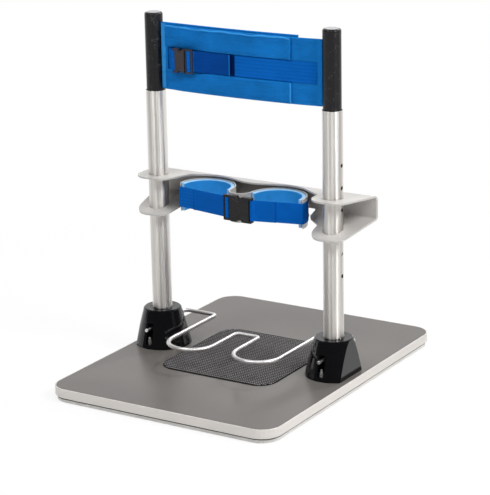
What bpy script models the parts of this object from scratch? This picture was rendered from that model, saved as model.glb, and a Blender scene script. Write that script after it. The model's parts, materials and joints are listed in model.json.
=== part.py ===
"""Dynamic standing frame.

Two tubular uprights sway fore and aft in rubber-blocked feet on a weighted base.
Telescopic tubes carry a pelvic belt, and a folded bracket carries a pair of knee
cups. A bent wire guides the heels. Metres, +Z up, +X to the right-hand upright,
+Y the way the user faces, origin under the middle of the base.
"""

import math

import bpy
import bmesh
from mathutils import Matrix, Vector

# Clearances
GAP = 0.0003
RUN = 0.0006

# Base, from the floor up
BASE_WIDTH = 0.610
BASE_DEPTH = 0.800
BASE_CORNER = 0.050
PLATE_THICK = 0.009
PLATE_INSET = 0.005
GASKET_THICK = 0.002
GASKET_INSET = 0.009
DECK_THICK = 0.022
TRIM_THICK = 0.003
TRIM_ROUND = 0.0012
MAT_WIDTH = 0.310
MAT_DEPTH = 0.328
MAT_CORNER = 0.045
MAT_THICK = 0.0018
TOP = PLATE_THICK + GAP + GASKET_THICK + GAP + DECK_THICK

# Countersunk screws under the base
SCREW_HEAD_RADIUS = 0.0050
SCREW_HEAD_DEPTH = 0.0030
SCREW_RADIUS = 0.0025
SCREW_BITE = 0.012
SCREW_SIDES = 8
FOOT_SCREW_RING = 0.044
FOOT_SCREW_ANGLE = math.radians(62)

# Uprights
POST_SPACING = 0.484
POST_RADIUS = 0.02415
POST_WALL = 0.0020
POST_FOOT_CLEAR = 0.012
POST_TOP = 0.638
HOLE_RADIUS = 0.0049
HOLE_FIRST = 0.244
HOLE_PITCH = 0.053
HOLE_COUNT = 6
TUBE_SIDES = 32

# Feet and the sway joint in them
FOOT_BASE_RADIUS = 0.070
FOOT_TOP_RADIUS = 0.046
FOOT_HEIGHT = 0.092
FOOT_FLAT = 0.046
FOOT_RIM = 0.0025
FOOT_SIDES = 48
SWAY = math.radians(6)
SWAY_CLEAR = 0.0030
PIVOT_HEIGHT = 0.024
AXLE_RADIUS = 0.006
AXLE_LENGTH = 0.076
BLOCK_HEIGHT = 0.024
PIN_RADIUS = 0.0045
PIN_RISE = 0.025
PIN_REACH = 0.074
PIN_CHAMFER = 0.0008
RECESS_WIDTH = 0.017
RECESS_CORNER = 0.004
RECESS_FLOOR = 0.009
RECESS_BACK = 0.038
STOP_REACH = 0.059
STOP_RADIUS = 0.0035
STOP_HEIGHT = 0.028
STOP_NUT_WIDTH = 0.011
STOP_NUT_HEIGHT = 0.005
STOP_SINK = 0.004

# Heel wire
WIRE_RADIUS = 0.005
WIRE_HEIGHT = 0.0520
WIRE_REAR = 0.103
WIRE_OUTER = 0.1516
WIRE_INNER = 0.0323
WIRE_BRIDGE = 0.008
WIRE_FRONT = -0.1535
WIRE_BEND = 0.011
WIRE_SOCKET = 0.0345

# Telescopic tubes
TUBE_FIT = 0.00035
TUBE_WALL = 0.0020
TUBE_LOW = 0.270
TUBE_TOP = 0.825
TUBE_SHOULDER = 0.0045
CAP_RADIUS = 0.0163
CAP_DEPTH = 0.010
CAP_SKIRT = 0.0022
BUTTON_HOLE = 1
BUTTON_RADIUS = 0.0044
BUTTON_STEM = 0.0068
BUTTON_FLANGE = 0.0015
BUTTON_FLANGE_RADIUS = 0.0062

# Knee bracket, one folded sheet
SHEET = 0.004
BRACKET_TOP = 0.4298
BRACKET_REAR = 0.065
BRACKET_BEND = 0.007
LOBE_LEFT = 0.0455
LOBE_FRONT = 0.0465
LOBE_RIGHT = 0.0589
LOBE_TAPER = 0.366
LOBE_CORNER = 0.035
NECK_FRONT = 0.030
NECK_WAVE = 0.023
NECK_BEND = 0.012
NECK_END = 0.140
SHOULDER = 0.0085
SHOULDER_BEND = 0.009
WING_REAR = 0.374
WING_SLOPE = 0.331
WING_INNER = 0.160
WING_CLEAR = 0.0065

# Knee cups
CUP_SPACING = 0.1964
CUP_RADIUS = 0.072
CUP_SHEET = 0.003
CUP_TOP = 0.420
CUP_LOW = 0.349
CUP_ARM = 0.0032
PAD_THICK = 0.010
PAD_MARGIN = 0.0015
PAD_ROUND = 0.002
CUP_RIVET_HEIGHT = 0.399
CUP_RIVET_RISE = 0.011
CUP_RIVET_RADIUS = 0.003
CUP_RIVET_HEAD = 0.0050
CUP_RIVET_DOME = 0.0055
CUP_RIVET_CROWN = 0.0026

# Webbing
WEB_WIDTH = 0.050
WEB_THICK = 0.0016
WEB_LOOSE = 0.0004
KNEE_HEIGHT = 0.3855
KNEE_WRAP = math.radians(36)
KNEE_TAIL = 0.1235
KNEE_SEAM = 0.108
RIVET_ANGLE = math.radians(27)
RIVET_RISE = 0.013
RIVET_RADIUS = 0.0018
RIVET_HEAD = 0.0042
RIVET_CROWN = 0.0013

# Side-release buckles
FRAME_THICK = 0.0045
BAR_WIDTH = 0.0036
SLOT_WIDE = 0.0052
SLOT_NARROW = 0.0038
ROOT_WIDTH = 0.0038
SHELL_DEPTH = 0.0118
SHELL_WALL = 0.0022
SHELL_SIDE = 0.0030
SHELL_ROUND = 0.0014
NOTCH_RADIUS = 0.0085
NOTCH_DEPTH = 0.0058
TONGUE_HALF = 0.006
TONGUE_THICK = 0.0040
ARM_WIDTH = 0.0070
ARM_THICK = 0.0056
ARM_SHARE = 0.9
KNEE_SHELL = 0.0590
KNEE_RAIL = 0.0054
KNEE_BUCKLE_X = -0.0267
BELT_SHELL = 0.0330
BELT_RAIL = 0.0032
BELT_BUCKLE_X = -0.1200

# Pelvic belt
BELT_LOW = 0.6435
BELT_HIGH = 0.8030
BELT_DROP = 0.0050
BELT_THICK = 0.0040
BELT_BOW = 0.010
BELT_BEAD = 0.0052
BELT_SLOT = 0.0052
BELT_SLOT_END = 0.002
WING_LEFT_END = 0.156
WING_RIGHT_END = -0.150
WING_LAP = 0.060
WING_STEP = 0.006
WING_STEP_RUN = 0.040
FLAP_THICK = 0.0060
FLAP_ROUND = 0.0022
FLAP_START = -0.2066
FLAP_END = 0.140
CHANNEL_LOW = 0.693
CHANNEL_HIGH = 0.746
BELT_WEB_HEIGHT = 0.7195
BELT_WEB_END = 0.206
BELT_TAIL = -0.0178
ANCHOR_START = -0.194

# Worked out from the sizes above
POST_X = POST_SPACING / 2
POST_BORE = POST_RADIUS - POST_WALL
TUBE_RADIUS = POST_BORE - TUBE_FIT
TUBE_BORE = TUBE_RADIUS - TUBE_WALL
FOOT_Z = TOP + GAP
PIVOT_Z = TOP + PIVOT_HEIGHT
PIN_Z = PIVOT_Z + PIN_RISE
WIRE_Z = TOP + WIRE_HEIGHT
BUTTON_Z = TOP + HOLE_FIRST + BUTTON_HOLE * HOLE_PITCH
WEB_FACE = BRACKET_REAR - SHEET
CUP_X = CUP_SPACING / 2
CUP_Y = WEB_FACE - GAP - CUP_RADIUS
CUP_MID = CUP_RADIUS - CUP_SHEET / 2
FRAME_LENGTH = BAR_WIDTH + SLOT_WIDE + BAR_WIDTH + SLOT_NARROW + ROOT_WIDTH
WEB_PASS = FRAME_THICK / 2 + GAP + WEB_THICK / 2
WEB_LAYER = WEB_THICK + WEB_LOOSE
CUP_BRIDGE_Y = CUP_Y - (CUP_X - CUP_MID) - CUP_SHEET / 2
WEB_REACH = max(WEB_PASS + WEB_LAYER + WEB_THICK / 2, SHELL_DEPTH / 2)
KNEE_BUCKLE_Y = CUP_BRIDGE_Y - WEB_LOOSE - WEB_REACH

FINISHES = {
    "laminate": ((0.26, 0.25, 0.24), 0.45, 0.0),
    "edge": ((0.61, 0.58, 0.54), 0.5, 0.0),
    "steel_plate": ((0.52, 0.52, 0.50), 0.45, 0.8),
    "gasket": ((0.02, 0.02, 0.02), 0.8, 0.0),
    "mat": ((0.10, 0.09, 0.09), 0.85, 0.0),
    "zinc": ((0.60, 0.60, 0.60), 0.35, 1.0),
    "gloss_black": ((0.008, 0.007, 0.009), 0.15, 0.0),
    "stainless": ((0.62, 0.60, 0.58), 0.30, 1.0),
    "rubber": ((0.015, 0.015, 0.015), 0.9, 0.0),
    "black_coat": ((0.030, 0.027, 0.031), 0.42, 0.0),
    "cap_grey": ((0.69, 0.67, 0.70), 0.4, 0.0),
    "bracket_grey": ((0.58, 0.56, 0.54), 0.38, 0.0),
    "foam_blue": ((0.14, 0.42, 0.78), 0.75, 0.0),
    "webbing": ((0.003, 0.080, 0.40), 0.8, 0.0),
    "belt_cloth": ((0.010, 0.155, 0.545), 0.75, 0.0),
    "buckle": ((0.032, 0.030, 0.032), 0.4, 0.0),
}

PARTS = "dynamic_standing_frame"
CUTTERS = "cutters"
SIDES = {"left": -1, "right": 1}


def clear_scene():
    """Remove every object of the scene."""
    for item in list(bpy.data.objects):
        bpy.data.objects.remove(item, do_unlink=True)


def collection(name):
    """Return the collection of that name, making it when it is missing."""
    found = bpy.data.collections.get(name)
    if found is None:
        found = bpy.data.collections.new(name)
        bpy.context.scene.collection.children.link(found)
    return found


def finish(name):
    """Return the material of a named finish."""
    found = bpy.data.materials.get(name)
    if found is None:
        colour, roughness, metallic = FINISHES[name]
        found = bpy.data.materials.new(name)
        found.use_nodes = True
        shader = found.node_tree.nodes["Principled BSDF"]
        shader.inputs["Base Color"].default_value = (*colour, 1.0)
        shader.inputs["Roughness"].default_value = roughness
        shader.inputs["Metallic"].default_value = metallic
        found.diffuse_color = (*colour, 1.0)
    return found


def add_object(name, mesh, look):
    """Link a mesh as a part with its finish, or as a cutter when it has none."""
    item = bpy.data.objects.new(name, mesh)
    if look is None:
        collection(CUTTERS).objects.link(item)
        item.hide_render = True
        item.display_type = "WIRE"
        return item
    collection(PARTS).objects.link(item)
    mesh.materials.clear()
    mesh.materials.append(finish(look))
    mesh.shade_smooth()
    mesh.set_sharp_from_angle(angle=math.radians(32))
    return item


def mesh_from(name, form):
    """Turn a bmesh into a mesh whose faces point out."""
    bmesh.ops.recalc_face_normals(form, faces=form.faces)
    mesh = bpy.data.meshes.new(name)
    form.to_mesh(mesh)
    form.free()
    return mesh


def evaluated_mesh(item):
    """Return a welded world-space copy of an object's evaluated mesh."""
    bpy.context.view_layer.update()
    graph = bpy.context.evaluated_depsgraph_get()
    mesh = bpy.data.meshes.new_from_object(item.evaluated_get(graph))
    form = bmesh.new()
    form.from_mesh(mesh)
    bpy.data.meshes.remove(mesh)
    bmesh.ops.remove_doubles(form, verts=form.verts, dist=1e-6)
    bmesh.ops.transform(form, matrix=item.matrix_world, verts=form.verts)
    return mesh_from(item.name, form)


def bake(item, look):
    """Replace a curve or modified object by a plain mesh object."""
    name = item.name
    mesh = evaluated_mesh(item)
    bpy.data.objects.remove(item, do_unlink=True)
    return add_object(name, mesh, look)


def curve_object(name, loops, dimensions, cyclic):
    """Make a curve object of straight-sided splines."""
    curve = bpy.data.curves.new(name, "CURVE")
    curve.dimensions = dimensions
    for loop in loops:
        spline = curve.splines.new("POLY")
        spline.points.add(len(loop) - 1)
        for point, place in zip(spline.points, loop):
            point.co = (*Vector(place).to_3d(), 1.0)
        spline.use_cyclic_u = cyclic
    item = bpy.data.objects.new(name, curve)
    collection(CUTTERS).objects.link(item)
    return item


def prism(name, loops, low, high, look=None, turn=None):
    """Extrude closed plan outlines from low to high; turn then moves the solid."""
    item = curve_object(name, loops, "2D", True)
    item.data.fill_mode = "BOTH"
    item.data.extrude = (high - low) / 2
    lift = Matrix.Translation((0, 0, (low + high) / 2))
    item.matrix_world = lift if turn is None else turn @ lift
    return bake(item, look)


def rod(name, path, radius, resolution, look=None):
    """Sweep a round bar along a path."""
    item = curve_object(name, [path], "3D", False)
    item.data.bevel_depth = radius
    item.data.bevel_resolution = resolution
    item.data.use_fill_caps = True
    return bake(item, look)


def turned(name, profile, place, steps, look=None, closed=False):
    """Revolve a profile of (radius, height) points, given down its outer side."""
    count = len(profile)
    edges = [(i, i + 1) for i in range(count - 1)]
    if closed:
        edges.append((count - 1, 0))
    mesh = bpy.data.meshes.new(name)
    mesh.from_pydata([(r, 0, z) for r, z in profile], edges, [])
    item = bpy.data.objects.new(name, mesh)
    collection(CUTTERS).objects.link(item)
    screw = item.modifiers.new("turn", "SCREW")
    screw.steps = steps
    screw.render_steps = steps
    screw.use_merge_vertices = True
    screw.merge_threshold = 1e-6
    screw.use_normal_calculate = True
    item.location = place
    return bake(item, look)


def box(name, low, high, look=None):
    """Make a box between two corners."""
    form = bmesh.new()
    bmesh.ops.create_cube(form, size=1.0)
    size = Vector(high) - Vector(low)
    middle = (Vector(high) + Vector(low)) / 2
    bmesh.ops.scale(form, vec=size, verts=form.verts)
    bmesh.ops.translate(form, vec=middle, verts=form.verts)
    return add_object(name, mesh_from(name, form), look)


def cylinders(name, rods, sides, look=None):
    """Make one mesh of round bars, each a start, an end and a radius."""
    form = bmesh.new()
    for start, end, radius in rods:
        start, end = Vector(start), Vector(end)
        along = end - start
        turn = Vector((0, 0, 1)).rotation_difference(along.normalized()).to_matrix().to_4x4()
        bmesh.ops.create_cone(
            form, cap_ends=True, segments=sides, radius1=radius, radius2=radius,
            depth=along.length, matrix=Matrix.Translation((start + end) / 2) @ turn)
    return add_object(name, mesh_from(name, form), look)


def repeated(name, source, places):
    """Make one cutter of a source object repeated at each place."""
    pattern = evaluated_mesh(source)
    form = bmesh.new()
    for place in places:
        known = len(form.verts)
        form.from_mesh(pattern)
        form.verts.ensure_lookup_table()
        bmesh.ops.transform(form, matrix=place, verts=form.verts[known:])
    bpy.data.objects.remove(source, do_unlink=True)
    return add_object(name, mesh_from(name, form), None)


def copies(names, source, places, look):
    """Make a part at each place, all of them sharing the source object's mesh."""
    pattern = evaluated_mesh(source)
    bpy.data.objects.remove(source, do_unlink=True)
    made = []
    for name, place in zip(names, places):
        item = add_object(name, pattern, look)
        item.matrix_world = place
        made.append(item)
    return made


def numbered(name, count):
    """Return names with a number for each of a count of like pieces."""
    return [f"{name}_{i + 1}" for i in range(count)]


def sided(name):
    """Return the names of a left and a right piece."""
    return [f"{name}_{label}" for label in SIDES]


def combine(target, tool, operation):
    """Cut, join or trim a target with a tool that stays among the cutters."""
    step = target.modifiers.new(operation.lower(), "BOOLEAN")
    step.operation = operation
    step.solver = "EXACT"
    step.object = tool
    return target


def cut(target, tool):
    """Take a tool's volume away from a target."""
    return combine(target, tool, "DIFFERENCE")


def soften(target, width, segments=2):
    """Round the sharp edges of a target."""
    step = target.modifiers.new("round", "BEVEL")
    step.width = width
    step.segments = segments
    step.limit_method = "ANGLE"
    step.angle_limit = math.radians(50)
    return target


def arc(centre, radius, start, end, steps):
    """Return points along an arc, angles in radians."""
    return [
        (centre[0] + radius * math.cos(start + (end - start) * i / steps),
         centre[1] + radius * math.sin(start + (end - start) * i / steps))
        for i in range(steps + 1)]


def rounded_rectangle(width, depth, radius, steps=7):
    """Return a rectangle with round corners about the origin."""
    x, y = width / 2 - radius, depth / 2 - radius
    quarter = math.pi / 2
    points = []
    for turn, (sx, sy) in enumerate(((1, 1), (-1, 1), (-1, -1), (1, -1))):
        points += arc((sx * x, sy * y), radius, turn * quarter, (turn + 1) * quarter, steps)
    return points


def filleted(corners, steps=5):
    """Return a path through corners of (x, y, radius), each rounded by its radius."""
    path = [corners[0][:2]]
    for before, corner, after in zip(corners, corners[1:], corners[2:]):
        here = Vector(corner[:2])
        back = (Vector(before[:2]) - here).normalized()
        ahead = (Vector(after[:2]) - here).normalized()
        half = back.angle(ahead) / 2
        reach = corner[2] / math.tan(half)
        middle = here + (back + ahead).normalized() * (corner[2] / math.sin(half))
        first = here + back * reach - middle
        sweep = first.angle_signed(here + ahead * reach - middle)
        for i in range(steps + 1):
            turn = Matrix.Rotation(-sweep * i / steps, 2)
            path.append(tuple(middle + turn @ first))
    path.append(tuple(corners[-1][:2]))
    return path


def ribbon(path, thickness):
    """Return the closed outline of a strip of even thickness along a path."""
    points = [Vector(p) for p in path]
    left, right = [], []
    for i, here in enumerate(points):
        before = (here - points[i - 1]).normalized() if i else None
        after = (points[i + 1] - here).normalized() if i + 1 < len(points) else None
        along = ((before or after) + (after or before)).normalized()
        spread = thickness / 2 / max(along.dot(before or after), 0.5)
        side = Vector((-along.y, along.x)) * spread
        left.append(tuple(here + side))
        right.append(tuple(here - side))
    return left + right[::-1]


def mirrored(points, sign):
    """Return plan points flipped across the middle plane when sign is -1."""
    return [(sign * p[0], *p[1:]) for p in points]


def pivot(name, place, parent=None):
    """Add an empty on a joint's axis."""
    empty = bpy.data.objects.new(name, None)
    collection(PARTS).objects.link(empty)
    empty.empty_display_size = 0.03
    empty.location = place
    bpy.context.view_layer.update()
    carry(parent, empty)
    return empty


def carry(parent, *items):
    """Parent items to an empty without moving them."""
    if parent is None:
        return
    bpy.context.view_layer.update()
    for item in items:
        item.parent = parent
        item.matrix_parent_inverse = parent.matrix_world.inverted()
    bpy.context.view_layer.update()


UPRIGHT_TURN = Matrix.Rotation(math.pi / 2, 4, "X")
FOLD_TURN = Matrix(((0, 0, 1, 0), (1, 0, 0, 0), (0, 1, 0, 0), (0, 0, 0, 1)))


def foot_screw_places(side):
    """Return the plan places of the screws that hold one foot to the base."""
    angles = (math.pi, FOOT_SCREW_ANGLE, -FOOT_SCREW_ANGLE)
    return [
        (side * (POST_X + FOOT_SCREW_RING * math.cos(a)), FOOT_SCREW_RING * math.sin(a))
        for a in angles]


def all_screw_places():
    """Return every plan place drilled from below."""
    return [place for side in SIDES.values() for place in foot_screw_places(side)]


def screw_holes(name, places, low, high):
    """Return a cutter of screw holes between two heights."""
    return cylinders(
        name, [((x, y, low), (x, y, high), SCREW_RADIUS + GAP) for x, y in places], SCREW_SIDES)


def foot_screws():
    """Make the countersunk screws that go up through the base into the feet."""
    tip = TOP + SCREW_BITE
    profile = [
        (0, tip), (SCREW_RADIUS, tip), (SCREW_RADIUS, GAP + SCREW_HEAD_DEPTH),
        (SCREW_HEAD_RADIUS, GAP), (0, GAP)]
    single = turned("foot_screw", profile, (0, 0, 0), SCREW_SIDES)
    places = [Matrix.Translation((x, y, 0)) for x, y in all_screw_places()]
    return copies(numbered("foot_screw", len(places)), single, places, "zinc")


def base_plate():
    """Make the steel ballast plate that rests on the floor."""
    inset = 2 * PLATE_INSET
    outline = rounded_rectangle(BASE_WIDTH - inset, BASE_DEPTH - inset, BASE_CORNER - PLATE_INSET)
    plate = prism("base_plate", [outline], 0, PLATE_THICK, "steel_plate")
    cut(plate, screw_holes("plate_holes", all_screw_places(), -GAP, PLATE_THICK + GAP))
    sink = turned(
        "plate_sinks",
        [(0, GAP + SCREW_HEAD_DEPTH), (SCREW_RADIUS + GAP, GAP + SCREW_HEAD_DEPTH),
         (SCREW_HEAD_RADIUS + 2 * GAP, -GAP), (0, -GAP)],
        (0, 0, 0), SCREW_SIDES)
    places = [Matrix.Translation((x, y, 0)) for x, y in all_screw_places()]
    return cut(plate, repeated("plate_sinks", sink, places))


def base_gasket():
    """Make the dark sheet whose edge shows as a shadow line."""
    low = PLATE_THICK + GAP
    inset = 2 * GASKET_INSET
    outline = rounded_rectangle(BASE_WIDTH - inset, BASE_DEPTH - inset, BASE_CORNER - GASKET_INSET)
    sheet = prism("base_gasket", [outline], low, low + GASKET_THICK, "gasket")
    return cut(sheet, screw_holes("gasket_holes", all_screw_places(), low - GAP, low + GASKET_THICK + GAP))


def base_deck():
    """Make the laminated board that the user stands on."""
    inset = 2 * (TRIM_THICK + GAP)
    radius = BASE_CORNER - TRIM_THICK - GAP
    outline = rounded_rectangle(BASE_WIDTH - inset, BASE_DEPTH - inset, radius)
    low = TOP - DECK_THICK
    deck = prism("base_deck", [outline], low, TOP, "laminate")
    return cut(deck, screw_holes("deck_holes", all_screw_places(), low - GAP, TOP + GAP))


def base_edge():
    """Make the pale edging round the board."""
    outer = rounded_rectangle(BASE_WIDTH, BASE_DEPTH, BASE_CORNER)
    inset = 2 * TRIM_THICK
    inner = rounded_rectangle(BASE_WIDTH - inset, BASE_DEPTH - inset, BASE_CORNER - TRIM_THICK)
    edge = prism("base_edge", [outer, inner], TOP - DECK_THICK, TOP, "edge")
    return soften(edge, TRIM_ROUND, 1)


def foot_mat():
    """Make the anti-slip mat on the deck."""
    outline = rounded_rectangle(MAT_WIDTH, MAT_DEPTH, MAT_CORNER)
    return prism("foot_mat", [outline], TOP + GAP, TOP + GAP + MAT_THICK, "mat")


def sway_reach(z):
    """Return how far from the post's axis its skin gets, fore and aft, at a height."""
    return POST_RADIUS / math.cos(SWAY) + abs(z - PIVOT_Z) * math.tan(SWAY) + SWAY_CLEAR


def stadium(centre_x, half_width, half_length, z, steps=10):
    """Return a ring of points round a slot that is long in Y."""
    straight = half_length - half_width
    ring = arc((centre_x, straight), half_width, 0, math.pi, steps)
    ring += arc((centre_x, -straight), half_width, math.pi, 2 * math.pi, steps)
    return [(x, y, z) for x, y in ring]


def loft(name, rings):
    """Skin a stack of rings with the same number of points and close its ends."""
    form = bmesh.new()
    layers = [[form.verts.new(p) for p in ring] for ring in rings]
    count = len(layers[0])
    for low, high in zip(layers, layers[1:]):
        for i in range(count):
            j = (i + 1) % count
            form.faces.new((low[i], low[j], high[j], high[i]))
    form.faces.new(layers[0][::-1])
    form.faces.new(layers[-1])
    return add_object(name, mesh_from(name, form), None)


def foot_radius(height):
    """Return the outside radius of a foot at a height above its base."""
    return FOOT_BASE_RADIUS + (FOOT_TOP_RADIUS - FOOT_BASE_RADIUS) * height / FOOT_HEIGHT


def pin_edge(reach, lean):
    """Return the height of the limit pin's skin at a reach, at the end of its sway."""
    swing = math.copysign(SWAY, lean)
    centre = PIVOT_Z + PIN_RISE * math.cos(SWAY) + reach * math.sin(swing)
    return centre + math.copysign(PIN_RADIUS + SWAY_CLEAR / 2, lean)


def foot_cavity(label, x):
    """Make the cutter of a foot's inside, which widens upward to let the post sway."""
    low = TOP + POST_FOOT_CLEAR - SWAY_CLEAR
    high = FOOT_Z + FOOT_HEIGHT + SWAY_CLEAR
    half_width = POST_RADIUS + 2 * RUN
    rings = [stadium(x, half_width, sway_reach(z), z) for z in (low, high)]
    return loft(f"foot_cavity_{label}", rings)


def foot_recess(label, x):
    """Make the cutter of the upright recess in a foot's front."""
    low = FOOT_Z + RECESS_FLOOR
    high = pin_edge(foot_radius(PIN_Z - FOOT_Z), 1)
    outline = rounded_rectangle(RECESS_WIDTH, high - low, RECESS_CORNER, 4)
    outline = [(x + px, (low + high) / 2 + pz) for px, pz in outline]
    return prism(f"foot_recess_{label}", [outline], RECESS_BACK, 2 * FOOT_BASE_RADIUS, None, UPRIGHT_TURN)


def foot(label, side):
    """Make one foot: a cone with a flat outer side, hollow for the swaying post."""
    x = side * POST_X
    top = FOOT_HEIGHT
    profile = [(0, top), (FOOT_TOP_RADIUS - FOOT_RIM, top), (foot_radius(top - FOOT_RIM), top - FOOT_RIM),
               (FOOT_BASE_RADIUS, 0), (0, 0)]
    body = turned(f"foot_{label}", profile, (x, 0, FOOT_Z), FOOT_SIDES, "gloss_black")
    far = 2 * FOOT_BASE_RADIUS
    faces = sorted((x + side * FOOT_FLAT, x + side * far))
    cut(body, box(f"foot_flat_{label}", (faces[0], -far, 0), (faces[1], far, far + TOP)))
    cut(body, foot_cavity(label, x))
    cut(body, foot_recess(label, x))
    slot = PIN_RADIUS + 2 * RUN
    low, high = pin_edge(RECESS_BACK, -1), pin_edge(RECESS_BACK, 1)
    cut(body, box(f"foot_slot_{label}", (x - slot, -RECESS_BACK - GAP, low), (x + slot, 0, high)))
    half = AXLE_LENGTH / 2 + GAP
    bores = [((x - half, 0, PIVOT_Z), (x + half, 0, PIVOT_Z), AXLE_RADIUS + GAP)]
    cut(body, cylinders(f"foot_bore_{label}", bores, 16))
    sockets = [((x, WIRE_SOCKET - GAP, WIRE_Z), (x, far, WIRE_Z), WIRE_RADIUS + GAP)]
    cut(body, cylinders(f"foot_socket_{label}", sockets, 12))
    floor = FOOT_Z + RECESS_FLOOR
    stops = [((x, -STOP_REACH, floor - STOP_SINK - GAP), (x, -STOP_REACH, floor + GAP), STOP_RADIUS + GAP)]
    cut(body, cylinders(f"foot_stop_{label}", stops, SCREW_SIDES))
    holes = screw_holes(f"foot_holes_{label}", foot_screw_places(side), TOP - GAP, TOP + SCREW_BITE + GAP)
    return cut(body, holes)


def axle(label, side):
    """Make the cross axle that a post sways on."""
    x = side * POST_X
    ends = [((x - AXLE_LENGTH / 2, 0, PIVOT_Z), (x + AXLE_LENGTH / 2, 0, PIVOT_Z), AXLE_RADIUS)]
    return cylinders(f"sway_axle_{label}", ends, 16, "zinc")


def stop_screws():
    """Make the set screws with two nuts that stand in the feet's recesses."""
    floor = FOOT_Z + RECESS_FLOOR
    shank = [((0, 0, floor - STOP_SINK), (0, 0, FOOT_Z + STOP_HEIGHT), STOP_RADIUS)]
    stud = cylinders("stop_screw", shank, 12)
    across = STOP_NUT_WIDTH / math.sqrt(3)
    lifts = (floor + GAP, floor + GAP + STOP_NUT_HEIGHT + 2 * RUN)
    nuts = [((0, 0, low), (0, 0, low + STOP_NUT_HEIGHT), across) for low in lifts]
    combine(stud, cylinders("stop_nuts", nuts, 6), "UNION")
    places = [Matrix.Translation((s * POST_X, -STOP_REACH, 0)) for s in SIDES.values()]
    return copies(sided("stop_screw"), stud, places, "zinc")


def post(label, side):
    """Make one outer upright with its adjusting holes on the outer side."""
    x = side * POST_X
    low, high = TOP + POST_FOOT_CLEAR, TOP + POST_TOP
    profile = [(POST_RADIUS, high), (POST_RADIUS, low), (POST_BORE, low), (POST_BORE, high)]
    tube = turned(f"post_{label}", profile, (x, 0, 0), TUBE_SIDES, "stainless", closed=True)
    reach = x + side * 2 * POST_RADIUS
    holes = []
    for i in range(HOLE_COUNT):
        z = TOP + HOLE_FIRST + i * HOLE_PITCH
        holes.append(((x, 0, z), (reach, 0, z), HOLE_RADIUS))
    across = 2 * POST_RADIUS
    holes.append(((x - across, 0, PIVOT_Z), (x + across, 0, PIVOT_Z), AXLE_RADIUS + RUN))
    holes.append(((x, 0, PIN_Z), (x, -across, PIN_Z), PIN_RADIUS + GAP))
    return cut(tube, cylinders(f"post_holes_{label}", holes, 14))


def sway_block(label, side):
    """Make the rubber block in a post's lower end that turns on the axle."""
    x = side * POST_X
    low, high = PIVOT_Z - BLOCK_HEIGHT / 2 + GAP, PIVOT_Z + BLOCK_HEIGHT / 2
    radius = POST_BORE - GAP
    block = turned(
        f"sway_block_{label}", [(0, high), (radius, high), (radius, low), (0, low)], (x, 0, 0), TUBE_SIDES, "rubber")
    across = 2 * POST_RADIUS
    bore = [((x - across, 0, PIVOT_Z), (x + across, 0, PIVOT_Z), AXLE_RADIUS + GAP)]
    return cut(block, cylinders(f"block_bore_{label}", bore, 16))


def limit_pins():
    """Make the pins that reach from the posts into the feet's recesses."""
    start = POST_BORE - GAP
    tip = PIN_REACH
    profile = [(0, tip), (PIN_RADIUS - PIN_CHAMFER, tip), (PIN_RADIUS, tip - PIN_CHAMFER),
               (PIN_RADIUS, start), (0, start)]
    single = turned("limit_pin", profile, (0, 0, 0), 14)
    places = [Matrix.Translation((s * POST_X, 0, PIN_Z)) @ UPRIGHT_TURN for s in SIDES.values()]
    return copies(sided("limit_pin"), single, places, "zinc")


def heel_wire():
    """Make the bent wire whose ends plug into the feet and whose loops take the heels."""
    loop = (WIRE_OUTER - WIRE_INNER) / 2
    bend = WIRE_BEND
    rear = filleted([
        (POST_X, WIRE_SOCKET, 0), (POST_X, WIRE_REAR, bend), (WIRE_OUTER, WIRE_REAR, bend),
        (WIRE_OUTER, WIRE_FRONT + loop, 0)])[:-1]
    turn = arc((WIRE_OUTER - loop, WIRE_FRONT + loop), loop, 0, -math.pi, 14)
    bridge = filleted([(WIRE_INNER, WIRE_FRONT + loop, 0), (WIRE_INNER, WIRE_BRIDGE, bend), (0, WIRE_BRIDGE, 0)])[1:-1]
    half = rear + turn + bridge
    path = half + mirrored(half, -1)[::-1]
    return rod("heel_wire", [(x, y, WIRE_Z) for x, y in path], WIRE_RADIUS, 3, "stainless")


def belt_tube(label, side):
    """Make one black telescopic tube, slotted on its inner side for the belt."""
    x = side * POST_X
    low, high = TOP + TUBE_LOW, TOP + TUBE_TOP
    mouth = CAP_RADIUS - CAP_SKIRT + GAP
    crown = [(TUBE_RADIUS - TUBE_SHOULDER + r, high - TUBE_SHOULDER + z) for r, z in
             arc((0, 0), TUBE_SHOULDER, math.pi / 2, 0, 5)]
    profile = [(mouth, high)] + crown + [
        (TUBE_RADIUS, low), (TUBE_BORE, low), (TUBE_BORE, high - TUBE_SHOULDER), (mouth, high - TUBE_SHOULDER)]
    tube = turned(f"belt_tube_{label}", profile, (x, 0, 0), TUBE_SIDES, "black_coat", closed=True)
    half = BELT_SLOT / 2
    inner = sorted((x - side * (TUBE_BORE - TUBE_WALL), x - side * 2 * TUBE_RADIUS))
    slot = box(
        f"tube_slot_{label}", (inner[0], -half, TOP + BELT_LOW - BELT_SLOT_END),
        (inner[1], half, TOP + BELT_HIGH + BELT_SLOT_END))
    cut(tube, slot)
    hole = [((x, 0, BUTTON_Z), (x + side * 2 * TUBE_RADIUS, 0, BUTTON_Z), BUTTON_RADIUS + GAP)]
    return cut(tube, cylinders(f"tube_hole_{label}", hole, 14))


def tube_cap(label, side):
    """Make the pale plug in a telescopic tube's top."""
    x = side * POST_X
    high = TOP + TUBE_TOP + GAP
    stem = CAP_RADIUS - CAP_SKIRT
    face = high + MAT_THICK / 2
    profile = [(0, face), (CAP_RADIUS - MAT_THICK / 4, face), (CAP_RADIUS, face - MAT_THICK / 4), (CAP_RADIUS, high),
               (stem, high), (stem, high - CAP_DEPTH), (0, high - CAP_DEPTH)]
    return turned(f"tube_cap_{label}", profile, (x, 0, 0), 24, "cap_grey")


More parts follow.
